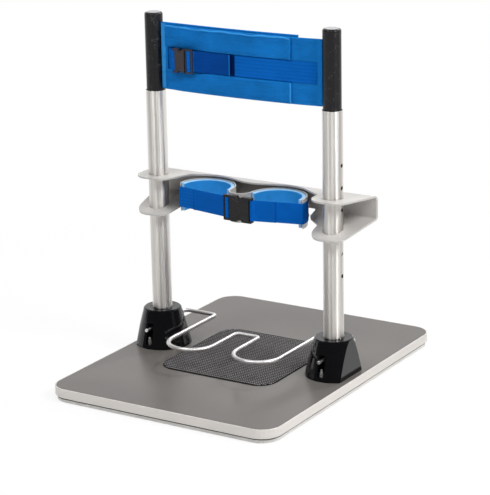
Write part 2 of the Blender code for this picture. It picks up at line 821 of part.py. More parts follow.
def snap_button(label, side):
    """Make the spring button that locks a telescopic tube, shown pressed in."""
    x = side * POST_X
    face = TUBE_RADIUS - GAP
    root = face - BUTTON_STEM
    profile = [(0, face), (BUTTON_RADIUS - PIN_CHAMFER, face), (BUTTON_RADIUS, face - PIN_CHAMFER),
               (BUTTON_RADIUS, root), (BUTTON_FLANGE_RADIUS, root),
               (BUTTON_FLANGE_RADIUS, root - BUTTON_FLANGE), (0, root - BUTTON_FLANGE)]
    single = turned("snap_button", profile, (0, 0, 0), 14)
    place = Matrix.Translation((x, 0, BUTTON_Z)) @ Matrix.Rotation(side * math.pi / 2, 4, "Y")
    return copies([f"snap_button_{label}"], single, [place], "zinc")[0]


def neck_line(x):
    """Return the front edge of the bracket's top between the posts, set back over each cup."""
    return NECK_FRONT + NECK_WAVE * (1 - math.cos(2 * math.pi * x / CUP_SPACING)) / 2


def lobe_right(side, y):
    """Return where the slanted right side of the lobe round a post lies."""
    return side * POST_X + LOBE_RIGHT + LOBE_TAPER * y


def lobe_front(side):
    """Return the two front corners of the lobe round a post."""
    return [(side * POST_X - LOBE_LEFT, -LOBE_FRONT, LOBE_CORNER),
            (lobe_right(side, -LOBE_FRONT), -LOBE_FRONT, LOBE_CORNER)]


def neck_start():
    """Return the place where the left lobe's slanted side runs into the waved edge."""
    x = lobe_right(-1, NECK_FRONT)
    for _ in range(8):
        x = lobe_right(-1, neck_line(x))
    return x


def bracket_plan():
    """Return the bracket's plan outline: two like lobes, a waved edge between and a slanted right end."""
    start = neck_start()
    first = start + NECK_BEND
    steps = 32
    wave = [first + (NECK_END - first) * i / steps for i in range(steps + 1)]
    edge = [(x, neck_line(x), 0) for x in wave]
    left = [(-POST_X - LOBE_LEFT, BRACKET_REAR, 0)] + lobe_front(-1)
    left += [(start, neck_line(start), NECK_BEND), edge[0]]
    right = [edge[-1], (POST_X - LOBE_LEFT, SHOULDER, SHOULDER_BEND)] + lobe_front(1)
    right += [(lobe_right(1, BRACKET_REAR), BRACKET_REAR, 0)]
    return filleted(left, 8) + [point[:2] for point in edge[1:-1]] + filleted(right, 8)


def bracket_fold():
    """Return the side outline of the folded sheet: level top, upright back, sloping wings."""
    mid = SHEET / 2
    front = -2 * LOBE_FRONT
    rear = BRACKET_REAR - mid
    top = TOP + BRACKET_TOP - mid
    wing = TOP + WING_REAR
    path = filleted([
        (front, top, 0), (rear, top, BRACKET_BEND), (rear, wing, BRACKET_BEND),
        (front, wing + (front - rear) * WING_SLOPE, 0)], 4)
    return ribbon(path, SHEET)


def knee_bracket():
    """Make the folded bracket that slides on both posts."""
    ends = (-POST_X - 2 * LOBE_LEFT, lobe_right(1, BRACKET_REAR) + LOBE_LEFT)
    bracket = prism("knee_bracket", [bracket_fold()], *ends, "bracket_grey", FOLD_TURN)
    plan = prism("bracket_plan", [bracket_plan()], TOP, TOP + 2 * BRACKET_TOP)
    combine(bracket, plan, "INTERSECT")
    below = TOP + WING_REAR + SHEET
    far = 2 * BRACKET_REAR
    cut(bracket, box("bracket_window", (-WING_INNER, -far, TOP), (WING_INNER, far, below)))
    rounds = [((s * CUP_X, CUP_Y, TOP), (s * CUP_X, CUP_Y, below), CUP_RADIUS + WING_CLEAR) for s in SIDES.values()]
    cut(bracket, cylinders("bracket_rounds", rounds, 36))
    holes = [((s * POST_X, 0, TOP), (s * POST_X, 0, TOP + 2 * BRACKET_TOP), POST_RADIUS + RUN) for s in SIDES.values()]
    cut(bracket, cylinders("bracket_holes", holes, TUBE_SIDES))
    shanks = [
        ((x, WEB_FACE - GAP, z), (x, BRACKET_REAR + GAP, z), CUP_RIVET_RADIUS + GAP) for x, z in cup_rivet_places()]
    return cut(bracket, cylinders("bracket_rivet_holes", shanks, 12))


def cup_rivet_places():
    """Return the (x, z) places of the rivets that hold the cups to the bracket."""
    middle = TOP + CUP_RIVET_HEIGHT
    return [(s * CUP_X, middle + r * CUP_RIVET_RISE) for s in SIDES.values() for r in (-1, 1)]


def cup_path():
    """Return the plan middle line of the wavy strip: cup, bridge, cup."""
    bridge = CUP_X - CUP_MID
    half = [(CUP_X + CUP_MID, CUP_Y - CUP_ARM)]
    half += arc((CUP_X, CUP_Y), CUP_MID, 0, math.pi, 26)
    half += arc((0, CUP_Y), bridge, 0, -math.pi / 2, 8)[1:-1]
    return half + [(0, CUP_Y - bridge)] + mirrored(half, -1)[::-1]


def knee_cups():
    """Make the steel strip that is bent into two knee cups."""
    strip = prism("knee_cups", [ribbon(cup_path(), CUP_SHEET)], TOP + CUP_LOW, TOP + CUP_TOP, "bracket_grey")
    inner = CUP_Y + CUP_RADIUS - CUP_SHEET
    shanks = [((x, inner - CUP_SHEET, z), (x, WEB_FACE, z), CUP_RIVET_RADIUS + GAP) for x, z in cup_rivet_places()]
    cut(strip, cylinders("cup_rivet_holes", shanks, 12))
    sinks = turned("cup_sinks", cup_rivet_head(RUN), (0, 0, 0), 12)
    cut(strip, repeated("cup_sinks", sinks, cup_rivet_turns()))
    rivets = [(*rivet_line(s, r), RIVET_RADIUS + GAP) for s in SIDES.values() for r in (-1, 1)]
    return cut(strip, cylinders("cup_strap_holes", rivets, 10))


def cup_rivet_head(swell=0.0):
    """Return the countersunk head's profile, measured along Y from the cup's centre."""
    start = CUP_RADIUS - CUP_SHEET + GAP
    depth = start + CUP_SHEET - 2 * RUN
    return [(0, depth), (CUP_RIVET_RADIUS + swell, depth), (CUP_RIVET_HEAD + swell, start),
            (CUP_RIVET_HEAD + swell, start - 2 * swell), (0, start - 2 * swell)]


def cup_rivet_turns():
    """Return the placements that turn a profile about +Z into each cup rivet."""
    turn = Matrix.Rotation(-math.pi / 2, 4, "X")
    return [Matrix.Translation((x, CUP_Y, z)) @ turn for x, z in cup_rivet_places()]


def cup_rivets():
    """Make the rivets that hold the cups to the bracket, flush in the cups and domed behind."""
    seat = BRACKET_REAR + GAP - CUP_Y
    dome = [(CUP_RIVET_DOME * math.cos(a), seat + CUP_RIVET_CROWN * math.sin(a))
            for a in (math.pi / 3, math.pi / 6, 0)]
    profile = [(0, seat + CUP_RIVET_CROWN)] + dome
    profile += [(CUP_RIVET_RADIUS, seat)] + cup_rivet_head()[1:3] + cup_rivet_head()[4:]
    single = turned("cup_rivet", profile, (0, 0, 0), 12)
    places = cup_rivet_turns()
    return copies(numbered("cup_rivet", len(places)), single, places, "zinc")


def knee_pad(label, side):
    """Make the foam lining of one cup."""
    radius = CUP_RADIUS - CUP_SHEET - GAP - PAD_THICK / 2
    path = [(side * (CUP_X + radius), CUP_Y - CUP_ARM)]
    path += [(side * x, y) for x, y in arc((CUP_X, CUP_Y), radius, 0, math.pi, 24)]
    path += [(side * (CUP_X - radius), CUP_Y - CUP_ARM)]
    low, high = TOP + CUP_LOW + PAD_MARGIN, TOP + CUP_TOP - PAD_MARGIN
    return soften(prism(f"knee_pad_{label}", [ribbon(path, PAD_THICK)], low, high, "foam_blue"), PAD_ROUND)


def rivet_line(side, rise):
    """Return the ends of one rivet's shank, from the cup's inner face outward."""
    z = TOP + KNEE_HEIGHT + rise * RIVET_RISE
    along = Vector((side * math.cos(RIVET_ANGLE), math.sin(RIVET_ANGLE)))
    hub = Vector((side * CUP_X, CUP_Y))
    ends = (CUP_RADIUS - CUP_SHEET - GAP, CUP_RADIUS + GAP + 2 * WEB_THICK)
    return tuple((*(hub + along * end), z) for end in ends)


def strap_rivets():
    """Make the rivets that pin the knee straps to the cups' outer arms."""
    start = CUP_RADIUS - CUP_SHEET + GAP
    seat = CUP_RADIUS + GAP + WEB_THICK + GAP
    crown = seat + RIVET_CROWN
    profile = [(0, crown), (RIVET_HEAD / 2, crown), (RIVET_HEAD, seat), (RIVET_RADIUS, seat),
               (RIVET_RADIUS, start), (0, start)]
    places = []
    for side in SIDES.values():
        aim = Matrix.Rotation(math.pi / 2 - side * (math.pi / 2 - RIVET_ANGLE), 4, "Z")
        lay = Matrix.Rotation(math.pi / 2, 4, "Y")
        for rise in (-1, 1):
            spot = Matrix.Translation((side * CUP_X, CUP_Y, TOP + KNEE_HEIGHT + rise * RIVET_RISE))
            places.append(spot @ aim @ lay)
    single = turned("strap_rivet", profile, (0, 0, 0), 10)
    return copies(numbered("strap_rivet", len(places)), single, places, "zinc")


def wrap_path(side):
    """Return a strap's way round a cup's outer arm, from its riveted end to the front corner."""
    radius = CUP_RADIUS + GAP + WEB_THICK / 2
    path = [(side * x, y) for x, y in arc((CUP_X, CUP_Y), radius, KNEE_WRAP, 0, 8)]
    return path + [(side * (CUP_X + radius), CUP_Y - CUP_ARM)]


def front_corner(side):
    """Return the rounded turn of a strap past the end of a cup's arm."""
    radius = CUP_RADIUS + GAP + WEB_THICK / 2
    return (side * (CUP_X + radius), CUP_Y - CUP_ARM - CUP_SHEET - GAP, CUP_SHEET)


def ladder_path(edge, middle, away, far):
    """Return corners of webbing that threads a ladder frame and doubles back to far.

    The frame's end bar starts at edge, and away is the way it points along X.
    """
    slot_wide = edge - away * (BAR_WIDTH + SLOT_WIDE / 2)
    slot_narrow = edge - away * (2 * BAR_WIDTH + SLOT_WIDE + SLOT_NARROW / 2)
    behind, front = middle + WEB_PASS, middle - WEB_PASS
    under = behind + WEB_LAYER
    bend = WEB_THICK
    return [
        (slot_narrow, under, bend), (slot_narrow, front, bend), (slot_wide, front, bend),
        (slot_wide, behind, bend), (far, behind, 0)]


def webbing(name, path, height, look="webbing"):
    """Make a strap of webbing along a plan path at a middle height."""
    half = WEB_WIDTH / 2
    return prism(name, [ribbon(path, WEB_THICK)], TOP + height - half, TOP + height + half, look)


def rivet_holes(target, side):
    """Drill a strap for its rivets."""
    holes = [(*rivet_line(side, r), RIVET_RADIUS + GAP) for r in (-1, 1)]
    return cut(target, cylinders(f"{target.name}_holes", holes, 10))


def knee_buckle():
    """Return the buckle in front of the knee cups."""
    return Buckle("knee", KNEE_BUCKLE_X, KNEE_BUCKLE_Y, KNEE_HEIGHT, -1, KNEE_SHELL, KNEE_RAIL)


def knee_strap_left():
    """Make the strap from the left cup through the plug's ladder frame, with its tail."""
    ladder = ladder_path(KNEE_BUCKLE_X, KNEE_BUCKLE_Y, -1, -KNEE_TAIL)
    tail = ladder[-1]
    corner = front_corner(-1)
    start = wrap_path(-1)
    lay = tail[0] - corner[0]
    slope = (ladder[0][1] - corner[1]) / (ladder[0][0] - corner[0])
    ladder[-1] = (tail[0], corner[1] + slope * lay - WEB_LAYER, 0)
    knee = (KNEE_BUCKLE_X - BAR_WIDTH, ladder[3][1], WEB_LAYER)
    corners = [(*start[-1], 0), corner] + ladder[:4] + [knee, ladder[-1]]
    strap = webbing("knee_strap_left", start[:-1] + filleted(corners, 4), KNEE_HEIGHT)
    return rivet_holes(strap, -1)


def knee_strap_right():
    """Make the strap from the right cup round the shell's bar, sewn back on itself."""
    b = knee_buckle()
    slot = b.slot + b.away * SLOT_NARROW / 2
    behind, front = b.middle + WEB_PASS, b.middle - WEB_PASS
    corner = front_corner(1)
    start = wrap_path(1)
    bar_end = b.end + WEB_LAYER
    slope = (corner[1] - behind) / (corner[0] - bar_end)
    lap = behind + slope * (KNEE_SEAM - bar_end) - WEB_LAYER
    corners = [
        (*start[-1], 0), corner, (bar_end, behind, WEB_THICK), (slot, behind, WEB_THICK), (slot, front, WEB_THICK),
        (bar_end - WEB_LAYER, front, WEB_THICK), (bar_end + 2 * WEB_LAYER, behind - WEB_LAYER, WEB_LAYER),
        (KNEE_SEAM, lap, 0)]
    strap = webbing("knee_strap_right", start[:-1] + filleted(corners, 4), KNEE_HEIGHT)
    return rivet_holes(strap, 1)


class Buckle:
    """The sizes and place of one side-release buckle.

    edge is the outer end of the plug's ladder frame along X, middle the buckle's middle
    plane in Y, and away the way that the ladder frame points along X.
    """

    def __init__(self, prefix, edge, middle, height, away, length, rail):
        self.prefix = prefix
        self.edge = edge
        self.middle = middle
        self.height = TOP + height
        self.away = away
        self.length = length
        self.half = WEB_WIDTH / 2 + RUN + rail
        self.root = edge - away * FRAME_LENGTH
        self.mouth = self.root - away * GAP
        self.end = self.mouth - away * length
        self.slot = self.end + away * BAR_WIDTH
        self.back = self.slot + away * (SLOT_NARROW + SHELL_WALL)
        self.depth = abs(self.mouth - self.back) - RUN
        self.arm_offset = self.half - SHELL_SIDE - RUN - ARM_WIDTH / 2

    def slab(self, name, loops, thickness, look=None, offset=0.0):
        """Extrude outlines drawn as (x, z from the middle) through a thickness in Y."""
        stand = Matrix.Translation((0, 0, self.height)) @ UPRIGHT_TURN
        low = -self.middle - offset - thickness / 2
        return prism(f"{self.prefix}_{name}", loops, low, low + thickness, look, stand)


def rectangle(left, right, half):
    """Return the corners of a rectangle between two places, half as high as given each way."""
    low, high = sorted((left, right))
    return [(low, -half), (high, -half), (high, half), (low, half)]


def rounded_slab(left, right, half, radius):
    """Return a rectangle with round corners between two places along X."""
    middle = (left + right) / 2
    return [(middle + x, z) for x, z in rounded_rectangle(abs(right - left), 2 * half, radius, 3)]


def buckle_shell(b):
    """Make a buckle's socket: a flat sleeve with finger notches and a bar for webbing."""
    shell = b.slab("buckle_shell", [rounded_slab(b.mouth, b.end, b.half, SHELL_SIDE)], SHELL_DEPTH, "buckle")
    soften(shell, SHELL_ROUND, 1)
    webbed = WEB_WIDTH / 2 + RUN
    far = b.end - b.away * BAR_WIDTH
    inner = b.slot + b.away * SLOT_NARROW
    cut(shell, b.slab("shell_slot", [rectangle(b.slot, inner, webbed)], 2 * SHELL_DEPTH))
    for face in (-1, 1):
        offset = face * (FRAME_THICK + SHELL_DEPTH) / 2
        cut(shell, b.slab(f"shell_relief_{face}", [rectangle(far, inner, webbed)], SHELL_DEPTH, None, offset))
    opening = rectangle(b.mouth + b.away * RUN, b.back, b.half - SHELL_SIDE)
    cut(shell, b.slab("shell_hollow", [opening], SHELL_DEPTH - 2 * SHELL_WALL))
    centre = (b.mouth + b.back) / 2
    notches = []
    for rise in (-1, 1):
        z = b.height + rise * (b.half + NOTCH_RADIUS - NOTCH_DEPTH)
        notches.append(((centre, b.middle - SHELL_DEPTH, z), (centre, b.middle + SHELL_DEPTH, z), NOTCH_RADIUS))
    return cut(shell, cylinders(f"{b.prefix}_shell_notches", notches, 18))


def buckle_plug(b):
    """Make a buckle's plug: a ladder frame for webbing with a guide tongue."""
    webbed = WEB_WIDTH / 2 + RUN
    wide = b.edge - b.away * BAR_WIDTH
    narrow = wide - b.away * (SLOT_WIDE + BAR_WIDTH)
    loops = [
        rounded_slab(b.edge, b.root, b.half, BAR_WIDTH / 2),
        rectangle(wide, wide - b.away * SLOT_WIDE, webbed),
        rectangle(narrow, narrow - b.away * SLOT_NARROW, webbed)]
    plug = b.slab("buckle_plug", loops, FRAME_THICK, "buckle")
    tip = b.root - b.away * b.depth
    tongue = b.slab("plug_tongue", [rectangle(b.root + b.away * ROOT_WIDTH / 2, tip, TONGUE_HALF)], TONGUE_THICK)
    return combine(plug, tongue, "UNION")


def buckle_arm(b, label, rise):
    """Make one of a buckle's squeeze arms, thicker at its tip where fingers press it."""
    reach = b.depth * ARM_SHARE
    root = b.mouth - b.away * GAP
    press = b.mouth - b.away * reach / 2
    tip = b.mouth - b.away * reach
    shoulder = tip + b.away * ARM_WIDTH / 2
    thin = ARM_WIDTH * 0.3
    half = ARM_WIDTH / 2
    outline = [
        (root, thin - half), (press, thin - half), (shoulder, -half), (tip, thin - half),
        (tip, half - thin), (shoulder, half), (press, half), (root, half - thin)]
    outline = [(x, rise * (b.arm_offset + z)) for x, z in outline]
    return b.slab(f"buckle_arm_{label}", [outline], ARM_THICK, "buckle")


def belt_line(x):
    """Return the belt's bow at a place across the frame."""
    reach = POST_X - TUBE_RADIUS
    return -BELT_BOW * max(0.0, 1 - (x / reach) ** 2)


def eased(share):
    """Return a share from 0 to 1 that starts and ends gently."""
    share = min(1.0, max(0.0, share))
    return share * share * (3 - 2 * share)


def wing_line(x, sign):
    """Return a wing's plan place: off the bow where the two overlap, the left wing behind the right."""
    start = -sign * (POST_X - TUBE_RADIUS)
    return belt_line(x) + sign * eased((x - start) * sign / WING_LAP) * (BELT_THICK + WEB_LOOSE) / 2


def wing_path(sign, end, steps=24):
    """Return a wing's plan path from its slot to its free end; sign is the way it runs."""
    start = -sign * (POST_X - TUBE_RADIUS)
    path = [(-sign * (POST_X - TUBE_BORE + BELT_BEAD), 0)]
    for i in range(steps + 1):
        x = start + (end - start) * i / steps
        path.append((x, wing_line(x, sign)))
    return path


def belt_wing(name, sign, end, high):
    """Make one wing of the belt, with the beaded edge that the tube's slot holds."""
    path = wing_path(sign, end)
    low, high = TOP + BELT_LOW, TOP + high
    wing = prism(name, [ribbon(path, BELT_THICK)], low, high, "belt_cloth")
    bead_x = path[0][0]
    bead = [((bead_x, 0, low), (bead_x, 0, high), BELT_BEAD)]
    return combine(wing, cylinders(f"{name}_bead", bead, 14), "UNION")


def front_line(x, depth):
    """Return the plan place of a layer that lies on the left wing and then steps onto the right one."""
    stepped = WING_RIGHT_END - WING_STEP
    share = eased((x - stepped + WING_STEP_RUN) / WING_STEP_RUN)
    face = wing_line(x, 1) * (1 - share) + wing_line(x, -1) * share
    return face - BELT_THICK / 2 - depth


def belt_flap(name, low, high):
    """Make one padded flap, sewn to the left wing and lying over the right one."""
    steps = 20
    span = FLAP_END - FLAP_START
    places = [FLAP_START + span * i / steps for i in range(steps + 1)]
    path = [(x, front_line(x, GAP + FLAP_THICK / 2)) for x in places]
    flap = prism(name, [ribbon(path, FLAP_THICK)], TOP + low, TOP + high, "belt_cloth")
    return soften(flap, FLAP_ROUND)


def belt_buckle():
    """Return the belt's buckle, which lies clear of the flaps."""
    far = BELT_BUCKLE_X - FRAME_LENGTH - GAP - BELT_SHELL
    face = min(front_line(x, GAP + FLAP_THICK + GAP) for x in (BELT_BUCKLE_X, far))
    return Buckle("belt", BELT_BUCKLE_X, face - SHELL_DEPTH / 2, BELT_WEB_HEIGHT, 1, BELT_SHELL, BELT_RAIL)


def belt_strap():
    """Make the belt's webbing: along the channel, through the ladder frame and back."""
    middle = belt_buckle().middle
    steps = 18
    entry = BELT_BUCKLE_X + WEB_WIDTH
    span = BELT_WEB_END - entry
    run = [BELT_WEB_END - span * i / steps for i in range(steps + 1)]
    depth = GAP + WEB_THICK / 2
    corners = [(x, front_line(x, depth), 0) for x in run]
    ladder = ladder_path(BELT_BUCKLE_X, middle, 1, BELT_TAIL)
    tail = [
        (BELT_BUCKLE_X + BAR_WIDTH, ladder[3][1], WEB_LAYER),
        (entry, front_line(entry, depth + WEB_LAYER), 2 * WEB_LAYER),
        (BELT_TAIL, front_line(BELT_TAIL, depth + WEB_LAYER), 0)]
    path = [c[:2] for c in corners[:-1]] + filleted([corners[-1]] + ladder[:4] + tail, 4)
    return webbing("belt_strap", path, BELT_WEB_HEIGHT)


def belt_anchor():
    """Make the short webbing that ties the buckle's shell to the left wing."""
    b = belt_buckle()
    slot = b.slot + b.away * SLOT_NARROW / 2
    front = b.middle - WEB_PASS
    depth = GAP + WEB_THICK / 2
    bottom = front_line(ANCHOR_START, depth)
    corners = [
        (ANCHOR_START, bottom - WEB_LAYER, 0), (b.end - WEB_LAYER, front, WEB_THICK), (slot, front, WEB_THICK),
        (slot, front_line(slot, depth), WEB_THICK), (ANCHOR_START, bottom, 0)]
    return webbing("belt_anchor", filleted(corners, 4), BELT_WEB_HEIGHT)


def build_buckle(b, carrier):
    """Make a whole side-release buckle; its plug slides and its arms bend."""
    carry(carrier, buckle_shell(b))
    slide = pivot(f"joint_{b.prefix}_plug", (b.edge, b.middle, b.height), carrier)
    carry(slide, buckle_plug(b))
    for label, rise in (("upper", 1), ("lower", -1)):
        place = (b.mouth, b.middle, b.height + rise * b.arm_offset)
        hinge = pivot(f"joint_{b.prefix}_arm_{label}", place, slide)
        carry(hinge, buckle_arm(b, label, rise))


def build_base():
    """Make everything that stands still."""
    base_plate()
    base_gasket()
    base_deck()
    base_edge()
    foot_mat()
    foot_screws()
    for label, side in SIDES.items():
        foot(label, side)
        axle(label, side)
    stop_screws()
    carry(pivot("joint_heel_guide", (0, WIRE_REAR, WIRE_Z)), heel_wire())


def build_uprights():
    """Make the swaying uprights and return their joint."""
    sway = pivot("joint_sway", (0, 0, PIVOT_Z))
    for label, side in SIDES.items():
        carry(sway, post(label, side), sway_block(label, side))
    carry(sway, *limit_pins())
    return sway


def build_knee_support(sway):
    """Make the sliding knee support."""
    slide = pivot("joint_knee_height", (0, 0, TOP + BRACKET_TOP), sway)
    carry(slide, knee_bracket(), knee_cups(), *cup_rivets(), *strap_rivets())
    for label, side in SIDES.items():
        carry(slide, knee_pad(label, side))
    carry(slide, knee_strap_left(), knee_strap_right())
    build_buckle(knee_buckle(), slide)


def build_belt(sway):
    """Make the telescopic tubes and the belt between them."""
    slide = pivot("joint_belt_height", (0, 0, TOP + POST_TOP), sway)
    for label, side in SIDES.items():
        carry(slide, belt_tube(label, side), tube_cap(label, side))
        press = pivot(f"joint_snap_button_{label}", (side * POST_X, 0, BUTTON_Z), slide)
        carry(press, snap_button(label, side))
    lapped = BELT_HIGH - BELT_DROP
    carry(slide, belt_wing("belt_wing_left", 1, WING_LEFT_END, BELT_HIGH))
    carry(slide, belt_wing("belt_wing_right", -1, WING_RIGHT_END, lapped))
    carry(slide, belt_flap("belt_flap_upper", CHANNEL_HIGH, lapped))
    carry(slide, belt_flap("belt_flap_lower", BELT_LOW, CHANNEL_LOW))
    carry(slide, belt_strap(), belt_anchor())
    build_buckle(belt_buckle(), slide)


def main():
    """Build the standing frame."""
    clear_scene()
    build_base()
    sway = build_uprights()
    build_knee_support(sway)
    build_belt(sway)
    bpy.context.view_layer.update()


main()
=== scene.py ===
"""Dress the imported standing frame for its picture.

Each sub-assembly is a class that holds its sizes and builds its soft or finely
detailed meshes over the fixed frame, and each surface has a finish of its own.
Metres, +Z up, +X to the right-hand upright, +Y the way the user faces.
"""

from __future__ import annotations

import json
import logging
import math
from dataclasses import dataclass, field, replace
from enum import Enum
from functools import reduce
from typing import Callable, ClassVar, Iterable, Sequence

import bmesh
import bpy
from mathutils import Matrix, Vector

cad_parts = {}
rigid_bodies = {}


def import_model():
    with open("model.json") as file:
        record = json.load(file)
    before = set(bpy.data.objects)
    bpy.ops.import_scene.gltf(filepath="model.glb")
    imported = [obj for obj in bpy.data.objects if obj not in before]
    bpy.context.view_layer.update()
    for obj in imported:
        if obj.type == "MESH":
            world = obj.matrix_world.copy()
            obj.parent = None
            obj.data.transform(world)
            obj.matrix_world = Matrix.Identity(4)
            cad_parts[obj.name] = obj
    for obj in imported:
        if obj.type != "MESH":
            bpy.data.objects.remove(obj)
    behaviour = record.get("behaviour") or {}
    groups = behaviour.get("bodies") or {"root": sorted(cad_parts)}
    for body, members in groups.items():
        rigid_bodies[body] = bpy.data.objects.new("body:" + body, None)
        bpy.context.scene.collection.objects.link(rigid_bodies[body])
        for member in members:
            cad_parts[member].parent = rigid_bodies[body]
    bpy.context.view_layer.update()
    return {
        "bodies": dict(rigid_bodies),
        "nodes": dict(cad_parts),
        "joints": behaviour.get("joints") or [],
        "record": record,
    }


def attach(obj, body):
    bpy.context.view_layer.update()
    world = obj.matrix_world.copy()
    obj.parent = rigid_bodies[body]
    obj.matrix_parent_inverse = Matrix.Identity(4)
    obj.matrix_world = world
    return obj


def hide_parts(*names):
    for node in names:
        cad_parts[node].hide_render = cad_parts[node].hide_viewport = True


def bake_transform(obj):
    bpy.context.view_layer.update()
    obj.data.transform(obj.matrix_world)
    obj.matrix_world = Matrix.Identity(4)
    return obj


LOG = logging.getLogger("standing_frame")

Socket = bpy.types.NodeSocket
Plan = list[tuple[float, float]]
Corner = tuple[float, float, float]
Colour = tuple[float, float, float]
Span = tuple[float, float]
Point = tuple[float, float, float]
Faces = list[tuple[int, ...]]
Shape = tuple[list[Point], Faces]
Relief = Callable[[float, float], float]

BASE_TOP = 0.0336  # the board's top over the floor
POST_X = 0.242  # from the middle to each upright's axis
GAP = 0.0003  # the air between pieces that lie together
WEB_WIDTH = 0.050  # stock webbing
WEB_RIDGES = 6  # ridges across the webbing
SHARP = 40.0  # edges past this many degrees stay sharp
CORNER_STEPS = 12  # pieces in a quarter turn of a rounded outline
RIM_SHARES = (0.08, 0.25, 0.55)  # where rows of points lie in a soft edge
MITRE = 0.5  # the most that a bend may widen a band, as a cosine
SAME_PLACE = 1e-5  # points nearer than this are one
TINY = 1e-9  # keeps a division from zero
UP = Vector((0, 0, 1)).freeze()
FRONT = Vector((0, -1, 0)).freeze()


class Body(str, Enum):
    """The bodies of the frame that pieces ride on."""

    BASE = "base"
    UPRIGHTS = "uprights"
    KNEE = "knee_support"
    KNEE_PLUG = "knee_plug"
    BELT = "belt_support"
    BELT_PLUG = "belt_plug"
    HEEL = "heel_guide"


class Side(Enum):
    """The two sides of the frame, as the sign of X."""

    LEFT = -1
    RIGHT = 1

    @property
    def label(self) -> str:
        """Return the side's word in piece names."""
        return self.name.lower()


class Detail(Enum):
    """How many finer layers a random pattern has."""

    PLAIN = 2.0
    FINE = 3.0
    RICH = 4.0
    FULL = 5.0


class Ends(Enum):
    """What is done at the two ends of a row of rings."""

    OPEN = "open"
    CAPPED = "capped"
    JOINED = "joined"


class Tree:
    """Builds the nodes of a material or of the sky."""

    MIX_INPUTS = (0, 6, 7)  # a mix node's share and its two colours
    MIX_RESULT = 2  # the mixed colour

    def __init__(self, tree: bpy.types.NodeTree) -> None:
        """Take over a tree of nodes to build in."""
        self.nodes = tree.nodes
        self.links = tree.links

    def feed(self, target: Socket, value: object) -> None:
        """Link a socket to a target, or set the target to a plain value.

        Args:
            target: The input to fill.
            value: A socket, a number or a tuple of numbers.
        """
        if isinstance(value, Socket):
            self.links.new(value, target)
        else:
            target.default_value = value

    def result(self, kind: str, inputs: dict[int | str, object], output: int | str = 0,
               **settings: object) -> Socket:
        """Add a node and return one of its outputs.

        Args:
            kind: Blender's name for the node's type.
            inputs: Sockets or values for its inputs.
            output: The output to return.
            settings: Properties of the node to set.

        Returns:
            The output's socket.
        """
        node = self.nodes.new(kind)
        for key, value in settings.items():
            setattr(node, key, value)
        for key, value in inputs.items():
            self.feed(node.inputs[key], value)
        return node.outputs[output]

    def math(self, operation: str, *values: Socket | float) -> Socket:
        """Return the result of one of Blender's sums on sockets or numbers."""
        return self.result("ShaderNodeMath", dict(enumerate(values)), operation=operation)

    def product(self, *values: Socket | float) -> Socket:
        """Return two or more sockets or numbers multiplied with each other."""
        return reduce(lambda whole, value: self.math("MULTIPLY", whole, value), values)

    def weighed(self, first: Socket, second: Socket, share: float) -> Socket:
        """Return a sum of two patterns by the share of the first."""
        return self.math("ADD", self.product(first, share), self.product(second, 1 - share))

    def span(self, value: Socket, start: float, end: float, low: object, high: float,
             **settings: str) -> Socket:
        """Return a value stretched from one range to another and held there."""
        inputs = dict(enumerate((value, start, end, low, high)))
        return self.result("ShaderNodeMapRange", inputs, **settings)

    def sharpened(self, value: Socket, clip: float) -> Socket:
        """Return a pattern with a part clipped off at both ends of its range."""
        return self.span(value, clip, 1 - clip, 0.0, 1.0)

    def mixed(self, share: Socket, first: Socket | Colour, second: Colour) -> Socket:
        """Return a colour between two.

        Args:
            share: The share of the second colour, from 0 to 1.
            first: A colour or its socket.
            second: The other colour.

        Returns:
            The mixed colour's socket.
        """
        plain = (*first, 1.0) if isinstance(first, tuple) else first
        inputs = dict(zip(self.MIX_INPUTS, (share, plain, (*second, 1.0))))
        return self.result("ShaderNodeMix", inputs, self.MIX_RESULT, data_type="RGBA")


